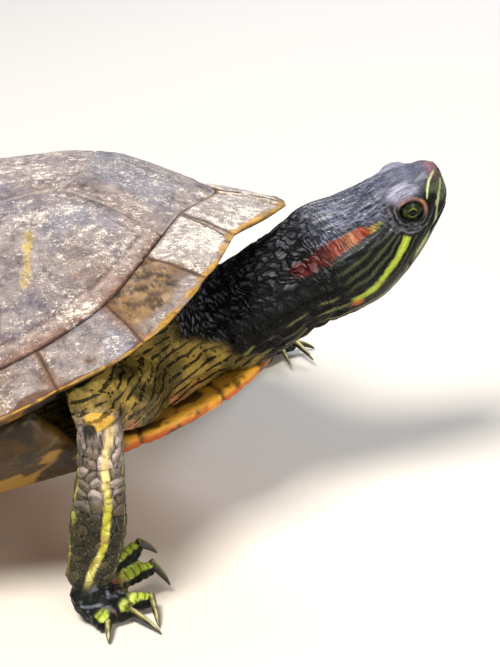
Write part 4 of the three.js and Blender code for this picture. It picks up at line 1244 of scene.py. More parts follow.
def head_relief(w):
    """The mouth line, nostrils, brow, folds round the eye, the ear disc and fine plates."""
    face, on_head, eye_r = w.face, w.on_head, w.eye_r
    x, y, z = face.T
    high = np.zeros(len(face))
    # mouth, with the upper beak standing a little proud of the lower
    flat_gap = np.abs(mouth_gap(face))
    line = fall(0.25, 0.95, flat_gap) * step(-21.5, -19.5, x) * (x < 3)
    high -= 0.75 * line * on_head
    high += 0.22 * bump(1.5, 1.3, mouth_gap(face)) * step(-18, -8, x) * on_head
    high -= 0.15 * step(-21, -14, x) * bump(-2, 2, mouth_gap(face)) * on_head
    nostril = np.linalg.norm(face - [-0.7, 1.5, -2.6], axis=1)
    high -= 0.9 * fall(0.3, 0.85, nostril)
    high += 0.25 * bump(1.2, 0.6, nostril)
    # brow, cheek and the folds round the eye
    high += 0.35 * fall(0.2, 1.1, within(face, [-12.5, 6.2, 1.6], [5.5, 3.4, 2.6]))
    level = step(-3, 0, z) * on_head * (y < 7)
    high += level * (0.25 * bump(-2.8, 3, x) - 0.6 * bump(-7.6, 3, x))
    rings = np.sin((eye_r + 0.3 * noise(face, 2.5, 411)) * 2 * math.pi / 0.95)
    rings = rings * step(5.8, 6.4, eye_r) * fall(7.6, 9, eye_r)
    high += on_head * 0.12 * rings * (z < -1)
    high -= 0.4 * fall(0.1, 0.8, near_line(face, ORBIT_FOLD)[0]) * on_head
    ear = within(face, [-27.5, 14.6, -8.4], [4.6, 5, 4.4])
    high -= 0.45 * fall(0.55, 1.0, ear) * on_head
    high += 0.2 * bump(1.12, 0.16, ear) * on_head
    high += 0.6 * fall(0.2, 1.1, within(face, [-28, 13.5, -1.5], [9, 5, 4.5])) * on_head
    nape = bump(-38.5, 14, x) * step(-3, 5, z) * (on_head + w.on_neck)
    high += 2.0 * nape
    # plates on the crown, small scales lower down
    crown = step(-1, 1.5, z + 0.12 * y) * on_head
    high += 0.12 * w.striae * on_head * fall(-22, -16, x)
    inside = cells(face, (1.5, 1.5, 1.2), 403, 0.9)[0]
    scaly = on_head * (1 - crown) * fall(-20, -14, x)
    high += scaly * (0.07 * step(0, 0.3, inside) - 0.04)
    return high + on_head * 0.05 * rough(face, 1.6, 404, 3) * step(6, 8, eye_r)


def neck_relief(w):
    """Crossing wrinkles all over, loose rings underneath and at the root."""
    bent = np.column_stack([w.neck_s + 3 * np.cos(w.neck_turn), w.arc, np.zeros(len(w.p))])
    crease = np.abs(rough(bent + 0.8 * noise(bent, 4, 413)[:, None], (4.6, 15, 1), 414, 2))
    lengthwise = np.sin(2 * math.pi * (w.arc + 2.2 * noise(w.neck_wrap, 9, 407)) / 5.2)
    rings = np.sin(2 * math.pi * (w.neck_s + 2 * noise(w.neck_wrap, 8, 408)) / 6.4)
    high = 0.16 * step(0, 0.3, w.neck_scale) - 0.1 - 0.55 * fall(0.0, 0.13, crease)
    high += 0.28 * lengthwise * (1 - 0.6 * step(30, 70, w.neck_up))
    high += 0.34 * rings * (1 - step(20, 42, w.neck_s) * 0.75)
    return high * w.on_neck


def limb_relief(w):
    """Rows of broad scales down the legs, wrinkled feet with ringed toes, and the folds of the loose skin."""
    p, high = w.p, np.zeros(len(w.p))
    pebbles = cells(p, (1.9, 1.9, 1.7), 421, 0.9)[0]
    grit = rough(p, 1.2, 422, 2)
    for leg in w.legs.values():
        scale = 0.26 * step(0, 0.16, leg.inside) + 0.16 * step(0.1, 0.6, leg.inside) - 0.24
        high += leg.shaft * scale
        high += leg.foot * (1 - leg.toe) * (0.24 * step(0, 0.35, pebbles) - 0.14 + 0.12 * grit)
        high += leg.toe * (0.32 * leg.bands - 0.16)
        high -= 0.5 * leg.foot * bump(4.2, 1.1, leg.toe_gap) * step(5, 8, leg.toe_run)
    pebbles = cells(p, (1.9, 1.9, 1.9), 430, 0.9)[0]
    folds = np.sin(2 * math.pi * (w.shell[:, 2] + 0.35 * w.shell[:, 0] + 3 * noise(p, 14, 431)) / 7)
    return high + w.body * (0.24 * step(0, 0.4, pebbles) - 0.14 + 0.5 * folds)


# ---------------------------------------------------------------- the markings of the skin
def band(points, line, half, soft=0.25, wobble=0.25, seed=0, size=3):
    """A stripe of the given half width along a line."""
    gap, along = near_line(points, line)
    gap = gap + wobble * noise(points, size, seed)
    return 1 - step(half - soft, half + soft, gap), gap, along


def colour_of(w):
    """The colour of every point of the skin, laid from the head back to the tail."""
    tint = coats(plain("#0a0c0b", w.p), ("#15191a", step(-0.2, 0.6, rough(w.p, 7, 501))))
    crown = step(-2.2, 1.2, w.face[:, 2] + 0.16 * np.maximum(0, w.face[:, 1] - 3)) * w.on_head
    patch = red_patch(w.face)
    tint = head_top_colour(tint, w, crown)
    tint = cheek_colour(tint, w, w.on_head * (1 - crown), patch)
    tint = lid_colour(tint, w)
    tint = neck_colour(tint, w, patch)
    tint = loose_skin_colour(tint, w)
    for name, leg in w.legs.items():
        tint = leg_colour(tint, name, leg, w.p)
        tint = foot_colour(tint, name, leg, w.p, w.facing_up)
    tail = w.spare * step(2, 8, -w.p[:, 0]) * (np.abs(w.p[:, 1]) < 16)
    pair = fall(0.5, 1, np.abs(np.abs(w.p[:, 1] - 2) - 2.6))
    return coats(tint, ("#20221f", 0.9 * tail), ("#8d8740", 0.7 * tail * pair))


def head_top_colour(tint, w, crown):
    """Slate blue, with painted highlight and shade on the temple's streaks, a pale lilac painted highlight
    over the brow, and a pinkish painted sheen on the snout.
    """
    face = w.face
    x, _, z = face.T
    upper_side = step(-5, -1, z) * w.on_head * fall(-22, -16, x)
    patchy = step(-0.6, 0.2, noise(face, 5, 410))
    brow = within(face, [-12.8, 7, 0.4], [6, 4.2, 3.4]) + 0.22 * noise(face, (3, 1, 1.2), 551)
    pale, dark = rough(face, (4, 0.8, 0.8), 552, 2), rough(face, (4, 0.6, 0.8), 553, 2)
    snout = step(-4.5, -1.5, x) * step(-3.5, -0.5, z)
    beak = step(-4.6, -3.2, x) * step(-9.2, -7.5, z) * fall(-3.6, -2.6, z)
    return coats(
        tint,
        ("#53586c", crown * (0.75 + 0.25 * rough(w.p, 3, 502))),
        ("#8c8d9a", 0.6 * crown * step(0.05, 0.6, rough(face, (6, 2, 3), 503))),
        # pale on the raised streaks of the temple: painted highlight
        ("#a3a6ad", 0.6 * upper_side * step(0.15, 0.5, w.striae) * patchy),
        # dark in the grooves between them: painted shade
        ("#23262d", 0.7 * upper_side * step(0.1, 0.5, -w.striae)),
        # pale lilac over the brow: painted highlight
        ("#85869c", 0.8 * fall(0.55, 1.1, brow)),
        ("#a9aabd", 0.6 * fall(0.5, 0.9, brow) * step(0.0, 0.5, pale)),
        ("#3a3742", 0.6 * fall(0.8, 1.2, brow) * step(0.1, 0.5, dark)),
        # pinkish on top of the snout: painted sheen
        ("#8a4a5c", 0.65 * snout),
        ("#5f6a56", 0.6 * beak),
        ("#1b2119", 0.75 * beak * step(0.1, 0.4, noise(face, (0.7, 0.7, 1.4), 554))))


def red_patch(face):
    """The red flash behind the eye: its colour, its mask, and the distance from its middle line."""
    _, gap, run = band(face, RED_PATCH, 1.9, 0.35, 0.45, 506)
    grow = np.interp(run, [0, 5, 12, 20, 29], [0.6, 1.0, 1.15, 1.35, 1.1])
    mask = fall(0.75, 1.0, gap / (1.9 * grow) + 0.3 * noise(face, (3, 1.2, 1.2), 511))
    hot = colours_along(
        ("#6f7440", "#8d7a45", "#a33a26", "#9a6846", "#7c3a2c", "#5f2421", "#431a19"),
        [0, 2.5, 5, 9, 14, 22, 30], run)
    hot = hot * (0.52 + 0.7 * step(-0.35, 0.35, rough(face, (1.5, 0.8, 0.8), 555, 3)))[:, None]
    return hot, mask * fall(26, 30, run), gap


def throat_lines(face):
    """Where the olive lines along the throat lie."""
    ripple = np.abs(np.sin(math.pi * (face[:, 1] + 0.8 * noise(face, 6, 509)) / 3.1))
    return fall(0.16, 0.34, ripple)


def cheek_colour(tint, w, cheek, patch):
    """Olive lines between the stripes, then the stripes themselves and the red patch."""
    face = w.face
    x, _, z = face.T
    clear = np.maximum(step(34, 44, w.beyond), w.eye_r > 12)
    bright, gap_eye, along = band(face, EYE_STRIPE, 1.15, 0.2, 0.3, 505)
    bright = bright * step(2.3, 3.1, along)
    hot, red_mask, gap_red = patch
    jaw, gap_jaw, _ = band(face, JAW_STRIPE, 0.48, 0.2, 0.2, 507)
    above = z > np.interp(x, [-38, -14], [-16.4, -7])
    for shares, gap, side_of in (((0.26, 0.42, 0.6, 0.8), gap_red, above), ((0.35, 0.65), gap_jaw, ~above)):
        across = gap_eye / np.maximum(0.1, gap_eye + gap)
        for share in shares:
            line = fall(0.012, 0.045, np.abs(across - share - 0.05 * noise(face, 5, 508)))
            line = line * step(-0.9, -0.2, noise(face, (8, 2.5, 2.5), 518 + int(100 * share)))
            tint = paint(tint, "#454e38", 0.7 * line * cheek * side_of * step(-42, -36, x) * clear)
    core = gap_eye < 0.5 + 0.3 * noise(face, 1.5, 568)
    spot = fall(0.5, 1, within(face, [-38.6, 14.8, -18], [2.6, 3, 2]))
    return coats(
        tint,
        ("#8d8a45", 0.8 * cheek * step(14, 19, -z) * throat_lines(face)),
        ("#a3ab80", 0.85 * jaw * w.on_head * step(-34, -24, x)),
        ("#b7c08e", 0.9 * band(face, SNOUT_STRIPE, 0.3, 0.15, 0.1, 510)[0]),
        ("#8d9e38", 0.95 * bright * clear),
        ("#abb84c", 0.8 * bright * core * clear),
        ("#c0642b", 0.9 * spot),
        (hot, 0.92 * red_mask))


def lid_colour(tint, w):
    """The orange rim of the upper lid, lilac skin above it, and below it black painted shade over the folds
    with pale painted highlights on their crests.
    """
    face, beyond = w.face, w.beyond
    near_eye = w.lid * step(0.5, 2, beyond)
    below = 1 - step(-35, 15, w.around) * fall(150, 178, w.around)
    upper = near_eye * (1 - below)
    ragged = beyond + 2.2 * noise(face, 0.9, 548)
    crests = np.clip(bump(15, 3.8, ragged) + 0.75 * bump(32, 4.5, ragged), 0, 1)
    crests = crests * (0.45 + 0.55 * step(-0.4, 0.3, noise(face, 1.3, 569)))
    lid_rim = bump(36, 44, w.around) * fall(9, 16, ragged) * step(2, 4, beyond)
    fold = near_line(face, ORBIT_FOLD)[0] + 0.25 * noise(face, 1.2, 550)
    slit = fall(0.1, 0.55, np.abs(mouth_gap(face))) * step(-21.5, -19.5, face[:, 0]) * w.on_head
    return coats(
        tint,
        # black under the eye: painted shade of the lower lid
        ("#141518", near_eye * fall(38, 48, beyond) * below),
        # pale on the crests of the lower folds: painted highlight
        ("#777781", 0.75 * near_eye * below * crests),
        ("#66504e", 0.8 * upper * fall(9, 15, ragged)),
        ("#a06a3c", 0.75 * near_eye * lid_rim),
        ("#bd9068", 0.6 * upper * bump(5, 3, ragged) * step(-0.6, 0.3, noise(face, 1.2, 549))),
        ("#2a2529", 0.7 * upper * bump(17, 3, ragged)),
        ("#0a0b0a", fall(0.5, 2.5, beyond) * w.lid),
        ("#5f626b", 0.5 * bump(0.6, 0.3, fold) * w.on_head),
        # near black along the mouth's slit: painted shade between the jaws
        ("#0b0c0b", 0.9 * slit * (face[:, 0] < 3)))


def neck_colour(tint, w, patch):
    """Black pleated skin, paler toward the top as painted light, with thin olive lines along it, and the far
    end of the red patch.
    """
    wrap, up, on_neck = w.neck_wrap, w.neck_up, w.on_neck
    # the tone rises from black underneath to slate on top: painted light from above
    painted_light_tones = ("#0d0e0b", "#060707", "#080909", "#15171a", "#2a2d33")
    tint = paint(tint, colours_along(painted_light_tones, [-90, -40, 0, 35, 90], up), on_neck)
    tint = paint(tint, "#050606", 0.6 * on_neck * fall(0, 0.2, w.neck_scale))
    for turn, seed in ((-12, 520), (-26, 521), (-40, 522), (-54, 523), (-70, 524)):
        line = bump(turn + 3.5 * noise(wrap, 14, seed), 2.1, up)
        broken = step(-0.55, 0.1, noise(wrap, 4, seed + 30))
        tint = paint(tint, "#7c7f4a", 0.75 * line * broken * on_neck)
    edge_line = bump(-66 + 3 * noise(wrap, 6, 566), 7, up) * fall(46, 58, w.neck_s)
    hot, red_mask, _ = patch
    return coats(
        tint,
        ("#a8742c", 0.8 * edge_line * on_neck),
        ("#8d8a45", 0.75 * on_neck * step(-66, -76, up) * throat_lines(w.face)),
        (hot, 0.85 * red_mask * on_neck))


def loose_skin_colour(tint, w):
    """Olive and tan skin between the limbs and the shell, with a pale fold over the plastron's edge, and
    painted shade low down and up under the shell.
    """
    p, soft = w.p, w.soft
    mirrored = np.column_stack([p[:, 0], np.abs(p[:, 1]), p[:, 2]])
    low_fold = soft * fall(1.5, 3.2, near_line(mirrored, LOW_FOLD)[0])
    # darker near the bottom and up under the shell's rim: painted shade
    under = soft * fall(-1, 3, w.shell[:, 2]) + soft * step(20, 34, w.shell[:, 2])
    return coats(
        tint,
        ("#544a26", soft),
        ("#917c3e", 0.9 * soft * step(-0.2, 0.35, rough(p, 6, 530))),
        ("#2a2615", 0.6 * soft * fall(0.0, 0.12, np.abs(rough(p, (9, 9, 2.6), 567, 2)))),
        ("#a86f52", 0.85 * low_fold * step(-0.3, 0.4, noise(p, 5, 534))),
        ("#2b2818", 0.6 * under))


def leg_colour(tint, name, leg, p):
    """Scales, stripes and spots of one leg, with painted light and shade on each scale and painted shade round
    the leg's back.
    """
    s, turn, rows, inside, shaft = leg.s, leg.turn, leg.rows, leg.inside, leg.shaft
    lean = leg_scales(name, rows + [0.55, 0, 0])[0] - inside
    low = step(26, 42, s) if name.startswith("front") else np.full(len(p), 0.4)
    base, light = paint(ink("#968888"), "#15160f", low), paint(ink("#cbbcb8"), "#2b2c22", low)
    gold = paint(ink("#c3ad7e"), "#aaa83c", step(24, 40, s))
    shadow = step(0.0, 0.5, noise(rows, (2.2, 3, 1), 560))
    middle = 18 + 5 * noise(rows, 7, 541) + 22 * fall(14, 26, s) - 10 * step(46, 56, s)
    stripe = step(0.15, 0.6, bump(middle, 19, turn)) * step(6, 10, s)
    tint = coats(
        tint,
        (base, shaft),
        (light, 0.85 * shaft * step(0.35, 0.75, leg.tag)),
        # each scale darker on its lower half and lighter on its upper half: painted shade and light, so the
        # scales look like overlapping shingles
        ("#3a3330", 0.55 * shaft * step(0.0, 0.14, -lean)),
        (light, 0.5 * shaft * step(0.04, 0.16, lean) * step(0.05, 0.2, inside)),
        ("#5d5340", 0.6 * shaft * step(0.6, 0.8, 1 - leg.tag)),
        ("#4c444a", 0.45 * shaft * shadow * (1 - low)),
        # darker round the side turned away from the front: painted shade
        ("#2e2c1c", 0.8 * shaft * (1 - bump(20, 115, turn))),
        (gold, 0.92 * shaft * stripe),
        ("#d9d79c", 0.5 * shaft * stripe * step(0.1, 0.5, noise(rows, (2, 1.2, 1), 561))),
        ("#8d6f3c", 0.6 * shaft * stripe * step(0.3, 0.6, noise(rows, (1.6, 2.4, 1), 562))))
    for middle in (72, -66):
        edge = step(0.3, 0.7, bump(middle + 5 * noise(rows, 6, 542), 6, turn))
        tint = paint(tint, "#8f8f45", 0.8 * shaft * edge * step(-0.7, 0.0, noise(rows, 3, 563)))
    fringe = step(70, 84, np.abs(turn)) * (turn < 0) * low
    line = fall(0.05, 0.15, inside)
    tint = coats(
        tint,
        ("#857a4c", 0.85 * shaft * fringe),
        ("#16130f", 0.88 * shaft * line * (1 - 0.5 * stripe)),
        ("#8d8f84", 0.22 * shaft * low * bump(0.16, 0.06, inside) * (1 - stripe)),
        ("#1a1812", 0.6 * step(0.45, 0.7, noise(p, 1.5, 543)) * shaft))
    if name == "front_right":
        cap = within(p, [114.4, -71, 58.2], [4.4, 5, 2.6]) + 0.2 * noise(p, 2, 564)
        spot = within(p, [111.9, -71.3, 56.2], [2.3, 5, 1.9]) + 0.15 * noise(p, 1.5, 565)
        tint = coats(
            tint, ("#b48f34", 0.9 * fall(0.7, 1.0, cap)), ("#131a1c", 0.95 * fall(0.7, 1.0, spot)))
    return tint


def foot_colour(tint, name, leg, p, facing_up):
    """Near black with slate wrinkles; each toe is yellow-green above, banded and edged with black."""
    foot = leg.foot
    wrinkle = noise(p + 0.8 * noise(p, 3, 421)[:, None], (2.4, 0.75, 0.75), 544)
    green = leg.toe * step(0.42, 0.68, facing_up + 0.25 * noise(p, 1.6, 545))
    web = step(3.2, 4.2, leg.toe_gap) * fall(6, 8, leg.toe_gap) * step(6, 9, leg.toe_run)
    tint = coats(
        tint,
        ("#121415", foot),
        ("#6b7580", 0.7 * foot * step(0.1, 0.55, wrinkle) * step(-0.5, 0.3, noise(p, 3, 570))),
        ("#10120f", 0.9 * leg.toe),
        ("#98a83e", 0.95 * green),
        ("#c9d27c", 0.6 * green * step(0.1, 0.5, noise(p, 1.4, 546))),
        ("#1b2010", 0.85 * green * fall(0.16, 0.4, leg.bands)),
        ("#96604a", 0.7 * foot * web * name.startswith("front")))
    if name == "front_right":
        pink = fall(0.6, 1.1, within(p, [115.6, -65.4, 8], [4, 4, 3]) + 0.3 * noise(p, 2, 569))
        tint = paint(tint, "#8f5f52", 0.55 * pink * foot * step(-0.3, 0.3, noise(p, 1.3, 570)))
    return tint


at, where = sculpt(relax(points_of(skin), edges_of(skin), 2, 0.5))
put_points(skin, at)
carry(skin, {
    "tint": colour_of(where), "soft": where.soft, "web": where.web, "streaky": where.streaky,
    "flow": np.column_stack([where.neck_s, where.arc, where.neck_r])})
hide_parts("head", "lower_jaw", *FLESH)


# ---------------------------------------------------------------- eyes
def eye(name, solid, side):
    """A globe whose pole faces out; the iris is drawn from the angle off the pole."""
    rows, turns = 90, 96
    away = np.concatenate([np.linspace(0.0, 1.2, 62), np.linspace(1.24, math.pi, rows - 62)])[:, None]
    bearing = full_turn(turns)[None, :]
    u, v = np.sin(away) * np.cos(bearing), np.sin(away) * np.sin(bearing)
    swell = EYE_RADIUS + 0.14 * fall(0.0, 0.8, away)
    globe = np.stack([u * swell, np.broadcast_to(np.cos(away), u.shape) * swell * side, v * swell], axis=-1)
    place = from_head(EYE * [1, side, 1] + globe.reshape(-1, 3))
    level = np.array([math.cos(LID_TILT - 0.1), 0, -math.sin(LID_TILT - 0.1)])
    flat = globe.reshape(-1, 3) * [1, 0, 1]
    x, z = flat @ level, flat @ np.array([-level[2], 0, level[0]])
    r = np.hypot(x, z)
    turn = np.arctan2(z, x)
    spokes = noise(np.column_stack([turn * 5, r * 0.8, np.zeros(len(r))]), 0.5, 601)
    arcs = step(0.25, 0.75, np.abs(np.sin(turn)) + 0.2 * spokes)
    bar = bump(0.5, 0.26, np.abs(z + 0.1)) * step(1.6, 1.9, r) * fall(2.5, 2.9, r) * (x < 0)
    tint = coats(
        plain("#141a0d", r),
        ("#38451c", 0.5 * bump(2.1, 0.8, r) * step(0.0, 0.6, spokes)),
        ("#7f8832", 0.8 * bump(1.28, 0.2, r) * arcs),
        ("#4f5a24", 0.5 * bar),
        ("#020202", fall(0.98, 1.14, r)),
        ("#060705", step(2.5, 3.0, r)))
    faces = grid_faces(rows, turns, wrap=True).tolist()
    if side > 0:
        faces = flip(faces)
    obj = make(name, place, faces, {"tint": tint})
    unwrap(obj, np.column_stack([u.ravel(), v.ravel()]) * 0.5 + 0.5)
    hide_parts(solid)
    return obj


eyes = [eye("globe_right", "eye_right", -1), eye("globe_left", "eye_left", 1)]


# ---------------------------------------------------------------- claws
CLAW_SIDES = 16


def claw(solid):
    """A curved horn through the base, middle and tip of the CAD claw."""
    points = weld(solid)[0]
    centre = points.mean(0)
    axis = np.linalg.svd(points - centre)[2][0]
    reach = (points - centre) @ axis
    span = np.ptp(reach)
    ends = [points[reach < reach.min() + 0.2 * span], points[reach > reach.max() - 0.2 * span]]
    ends.sort(key=lambda e: -np.linalg.norm(e - e.mean(0), axis=1).max())
    base, tip = ends[0].mean(0), ends[1].mean(0)
    radius = np.linalg.norm(ends[0] - base, axis=1).max()
    towards = unit(tip - base)
    between = (points - base) @ towards
    middle = points[(between > 0.25 * span) & (between < 0.8 * span)].mean(0)
    middle = middle * 0.5 + (base + tip) * 0.25
    t = np.linspace(0, 1, 22)[:, None]
    path = base * (1 - t) ** 2 + 2 * (2 * middle - (base + tip) / 2) * t * (1 - t) + tip * t**2
    path[0] -= towards * 0.6
    along = unit(np.gradient(path, axis=0))
    side = unit(np.cross(along, [0, 0, 1]))
    up = np.cross(side, along)
    width = radius * (1 - t) ** 0.62 + 0.1 * t
    turn = full_turn(CLAW_SIDES)[:, None]
    oval = 0.82 * np.cos(turn) * side[:, None] + np.sin(turn) * up[:, None]
    place = (path[:, None] + width[:, None] * oval).reshape(-1, 3)
    place[:, 2] = np.maximum(place[:, 2], 0.05)
    n = len(path)
    top, run = np.tile(np.sin(turn.ravel()), n), np.repeat(t.ravel(), CLAW_SIDES)
    pale = step(0.85, 1.0, top + 0.15 * noise(place, 1, 612)) * fall(0.75, 0.95, run)
    # lighter along the claw's top, with a pale line on the very top: painted light and a painted highlight
    tint = coats(
        plain("#1c1811", place),
        ("#5c5a36", 0.8 * step(0.3, 0.9, top + 0.4 * noise(place, 1.5, 611))),
        ("#b3b07e", 0.75 * pale))
    obj = make("horn_" + solid, place, tube_faces(n, CLAW_SIDES), {"tint": tint})
    unwrap(obj, np.column_stack([run, np.tile(np.linspace(0, 1, CLAW_SIDES), n)]))
    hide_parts(solid)
    return obj


claws = [claw(solid) for solid in sorted(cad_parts) if "_claw_" in solid]


# ---------------------------------------------------------------- materials
def material(name):
    mat = bpy.data.materials.new(name)
    mat.use_nodes = True
    mat.node_tree.nodes.clear()
    return mat


def node(mat, kind, settings=None, out=0, **links):
    """Add one node and give back one output; settings and links go to the node's own values or its sockets."""
    made = mat.node_tree.nodes.new("ShaderNode" + kind)
    for key, value in (settings or {}).items():
        if isinstance(key, int) or (key in made.inputs and not hasattr(type(made), key)):
            made.inputs[key].default_value = value
        else:
            setattr(made, key, value)
    for key, source in links.items():
        socket = int(key[1:]) if key[1:].isdigit() else key.replace("_", " ")
        mat.node_tree.links.new(source, made.inputs[socket])
    return made.outputs[out] if made.outputs else made


TIMES, PLUS, LESS = ({"operation": name} for name in ("MULTIPLY", "ADD", "SUBTRACT"))
# Map Range sockets by number: 1 and 2 are the span read, 3 and 4 the span given.


def blend_of(code):
    """Mix settings that lay one fixed colour over another."""
    return {"data_type": "RGBA", 7: (*ink(code), 1)}


def drawn_out(degrees, long, broad, axis=2):
    """Mapping settings for marks turned about one axis, long in one direction and broad across it."""
    turn = [math.radians(degrees) * (k == axis) for k in range(3)]
    return {"vector_type": "TEXTURE", "Rotation": turn, "Scale": (long, broad, broad)}


def surface(mat, colour, roughness, height, mm, specular, under=None):
    """Close a material with a bump of the given depth and one specular level."""
    links = {"Height": height} if under is None else {"Height": height, "Normal": under}
    normal = node(mat, "Bump", {"Strength": 1.0, "Distance": mm / 1000}, **links)
    level = {"Specular IOR Level": specular}
    body = node(mat, "BsdfPrincipled", level, Base_Color=colour, Roughness=roughness, Normal=normal)
    node(mat, "OutputMaterial", Surface=body)
    return mat


def plain_horn(name, roughness, grain_mm, height, share, specular):
    """Smooth horn in the painted colours, varied by a fine grain."""
    mat = material(name)
    place = node(mat, "TexCoord", out="Object")
    fine = node(mat, "TexNoise", {"Scale": 1000 / grain_mm, "Detail": 5.0, "Roughness": 0.65}, Vector=place)
    tint = node(mat, "Attribute", {"attribute_name": "tint"}, "Color")
    tone = node(mat, "MapRange", {1: 0.3, 2: 0.7, 3: 1 - share, 4: 1 + share}, Value=fine)
    colour = node(mat, "VectorMath", {"operation": "SCALE"}, _0=tint, Scale=tone)
    shine = node(mat, "MapRange", {1: 0.3, 2: 0.7, 3: roughness - 0.07, 4: roughness + 0.1}, Value=fine)
    return surface(mat, colour, shine, fine, height, specular)


def scute_horn(name):
    """Worn horn under a broken pale bloom that gathers where the film value is high."""
    mat = material(name)
    # level is in millimetres; flakes of dust are really finer, and drawn half a millimetre across to show
    level = node(mat, "Attribute", {"attribute_name": "level"}, "Vector")
    film = node(mat, "Attribute", {"attribute_name": "film"}, "Fac")
    tint = node(mat, "Attribute", {"attribute_name": "tint"}, "Color")
    grain = node(mat, "Mapping", drawn_out(0, 1.9, 1.0), Vector=level)
    streak = node(mat, "TexNoise", {"Scale": 0.91, "Detail": 6.0, "Roughness": 0.78}, Vector=grain)
    dust = node(mat, "TexNoise", {"Scale": 2.0, "Detail": 3.0, "Roughness": 0.8}, Vector=level)
    stain = node(mat, "TexNoise", {"Scale": 0.31, "Detail": 6.0, "Roughness": 0.7}, Vector=level)
    bloom = film
    for spread, weight in ((streak, 2.2), (dust, 1.7)):
        centred = node(mat, "Math", {"operation": "MULTIPLY_ADD", 1: weight, 2: -0.5 * weight}, _0=spread)
        bloom = node(mat, "Math", PLUS, _0=bloom, _1=centred)
    tone = node(mat, "MapRange", {1: 0.35, 2: 0.65, 3: 0.5, 4: 1.18}, Value=stain)
    colour = node(mat, "VectorMath", {"operation": "SCALE"}, _0=tint, Scale=tone)
    thin = node(mat, "MapRange", {1: 0.38, 2: 0.58, 3: 0.0, 4: 0.5}, Value=bloom)
    colour = node(mat, "Mix", blend_of("#b6adac"), 2, _0=thin, _6=colour)
    thick = node(mat, "MapRange", {1: 0.68, 2: 0.8, 3: 0.0, 4: 0.9}, Value=bloom)
    colour = node(mat, "Mix", blend_of("#efe9dd"), 2, _0=thick, _6=colour)
    # hairline cracks, really a tenth of a millimetre wide and drawn a little wider to show
    grain = node(mat, "Mapping", drawn_out(12, 3.4, 1.5), Vector=level)
    crack = node(mat, "TexNoise", {"Scale": 1.0, "Detail": 2.0, "Roughness": 0.5}, Vector=grain)
    crack = node(mat, "Math", {"operation": "ABSOLUTE"}, _0=node(mat, "Math", {**LESS, 1: 0.5}, _0=crack))
    crack = node(mat, "MapRange", {1: 0.004, 2: 0.016, 3: 0.55, 4: 0.0}, Value=crack)
    colour = node(mat, "Mix", blend_of("#3c3236"), 2, _0=crack, _6=colour)
    under = node(mat, "Bump", {"Strength": 1.0, "Distance": 0.0008}, Height=streak)
    dull = node(mat, "MapRange", {1: 0.4, 2: 0.9, 3: 0.42, 4: 0.7}, Value=bloom)
    return surface(mat, colour, dull, dust, 0.3, 0.4, under)


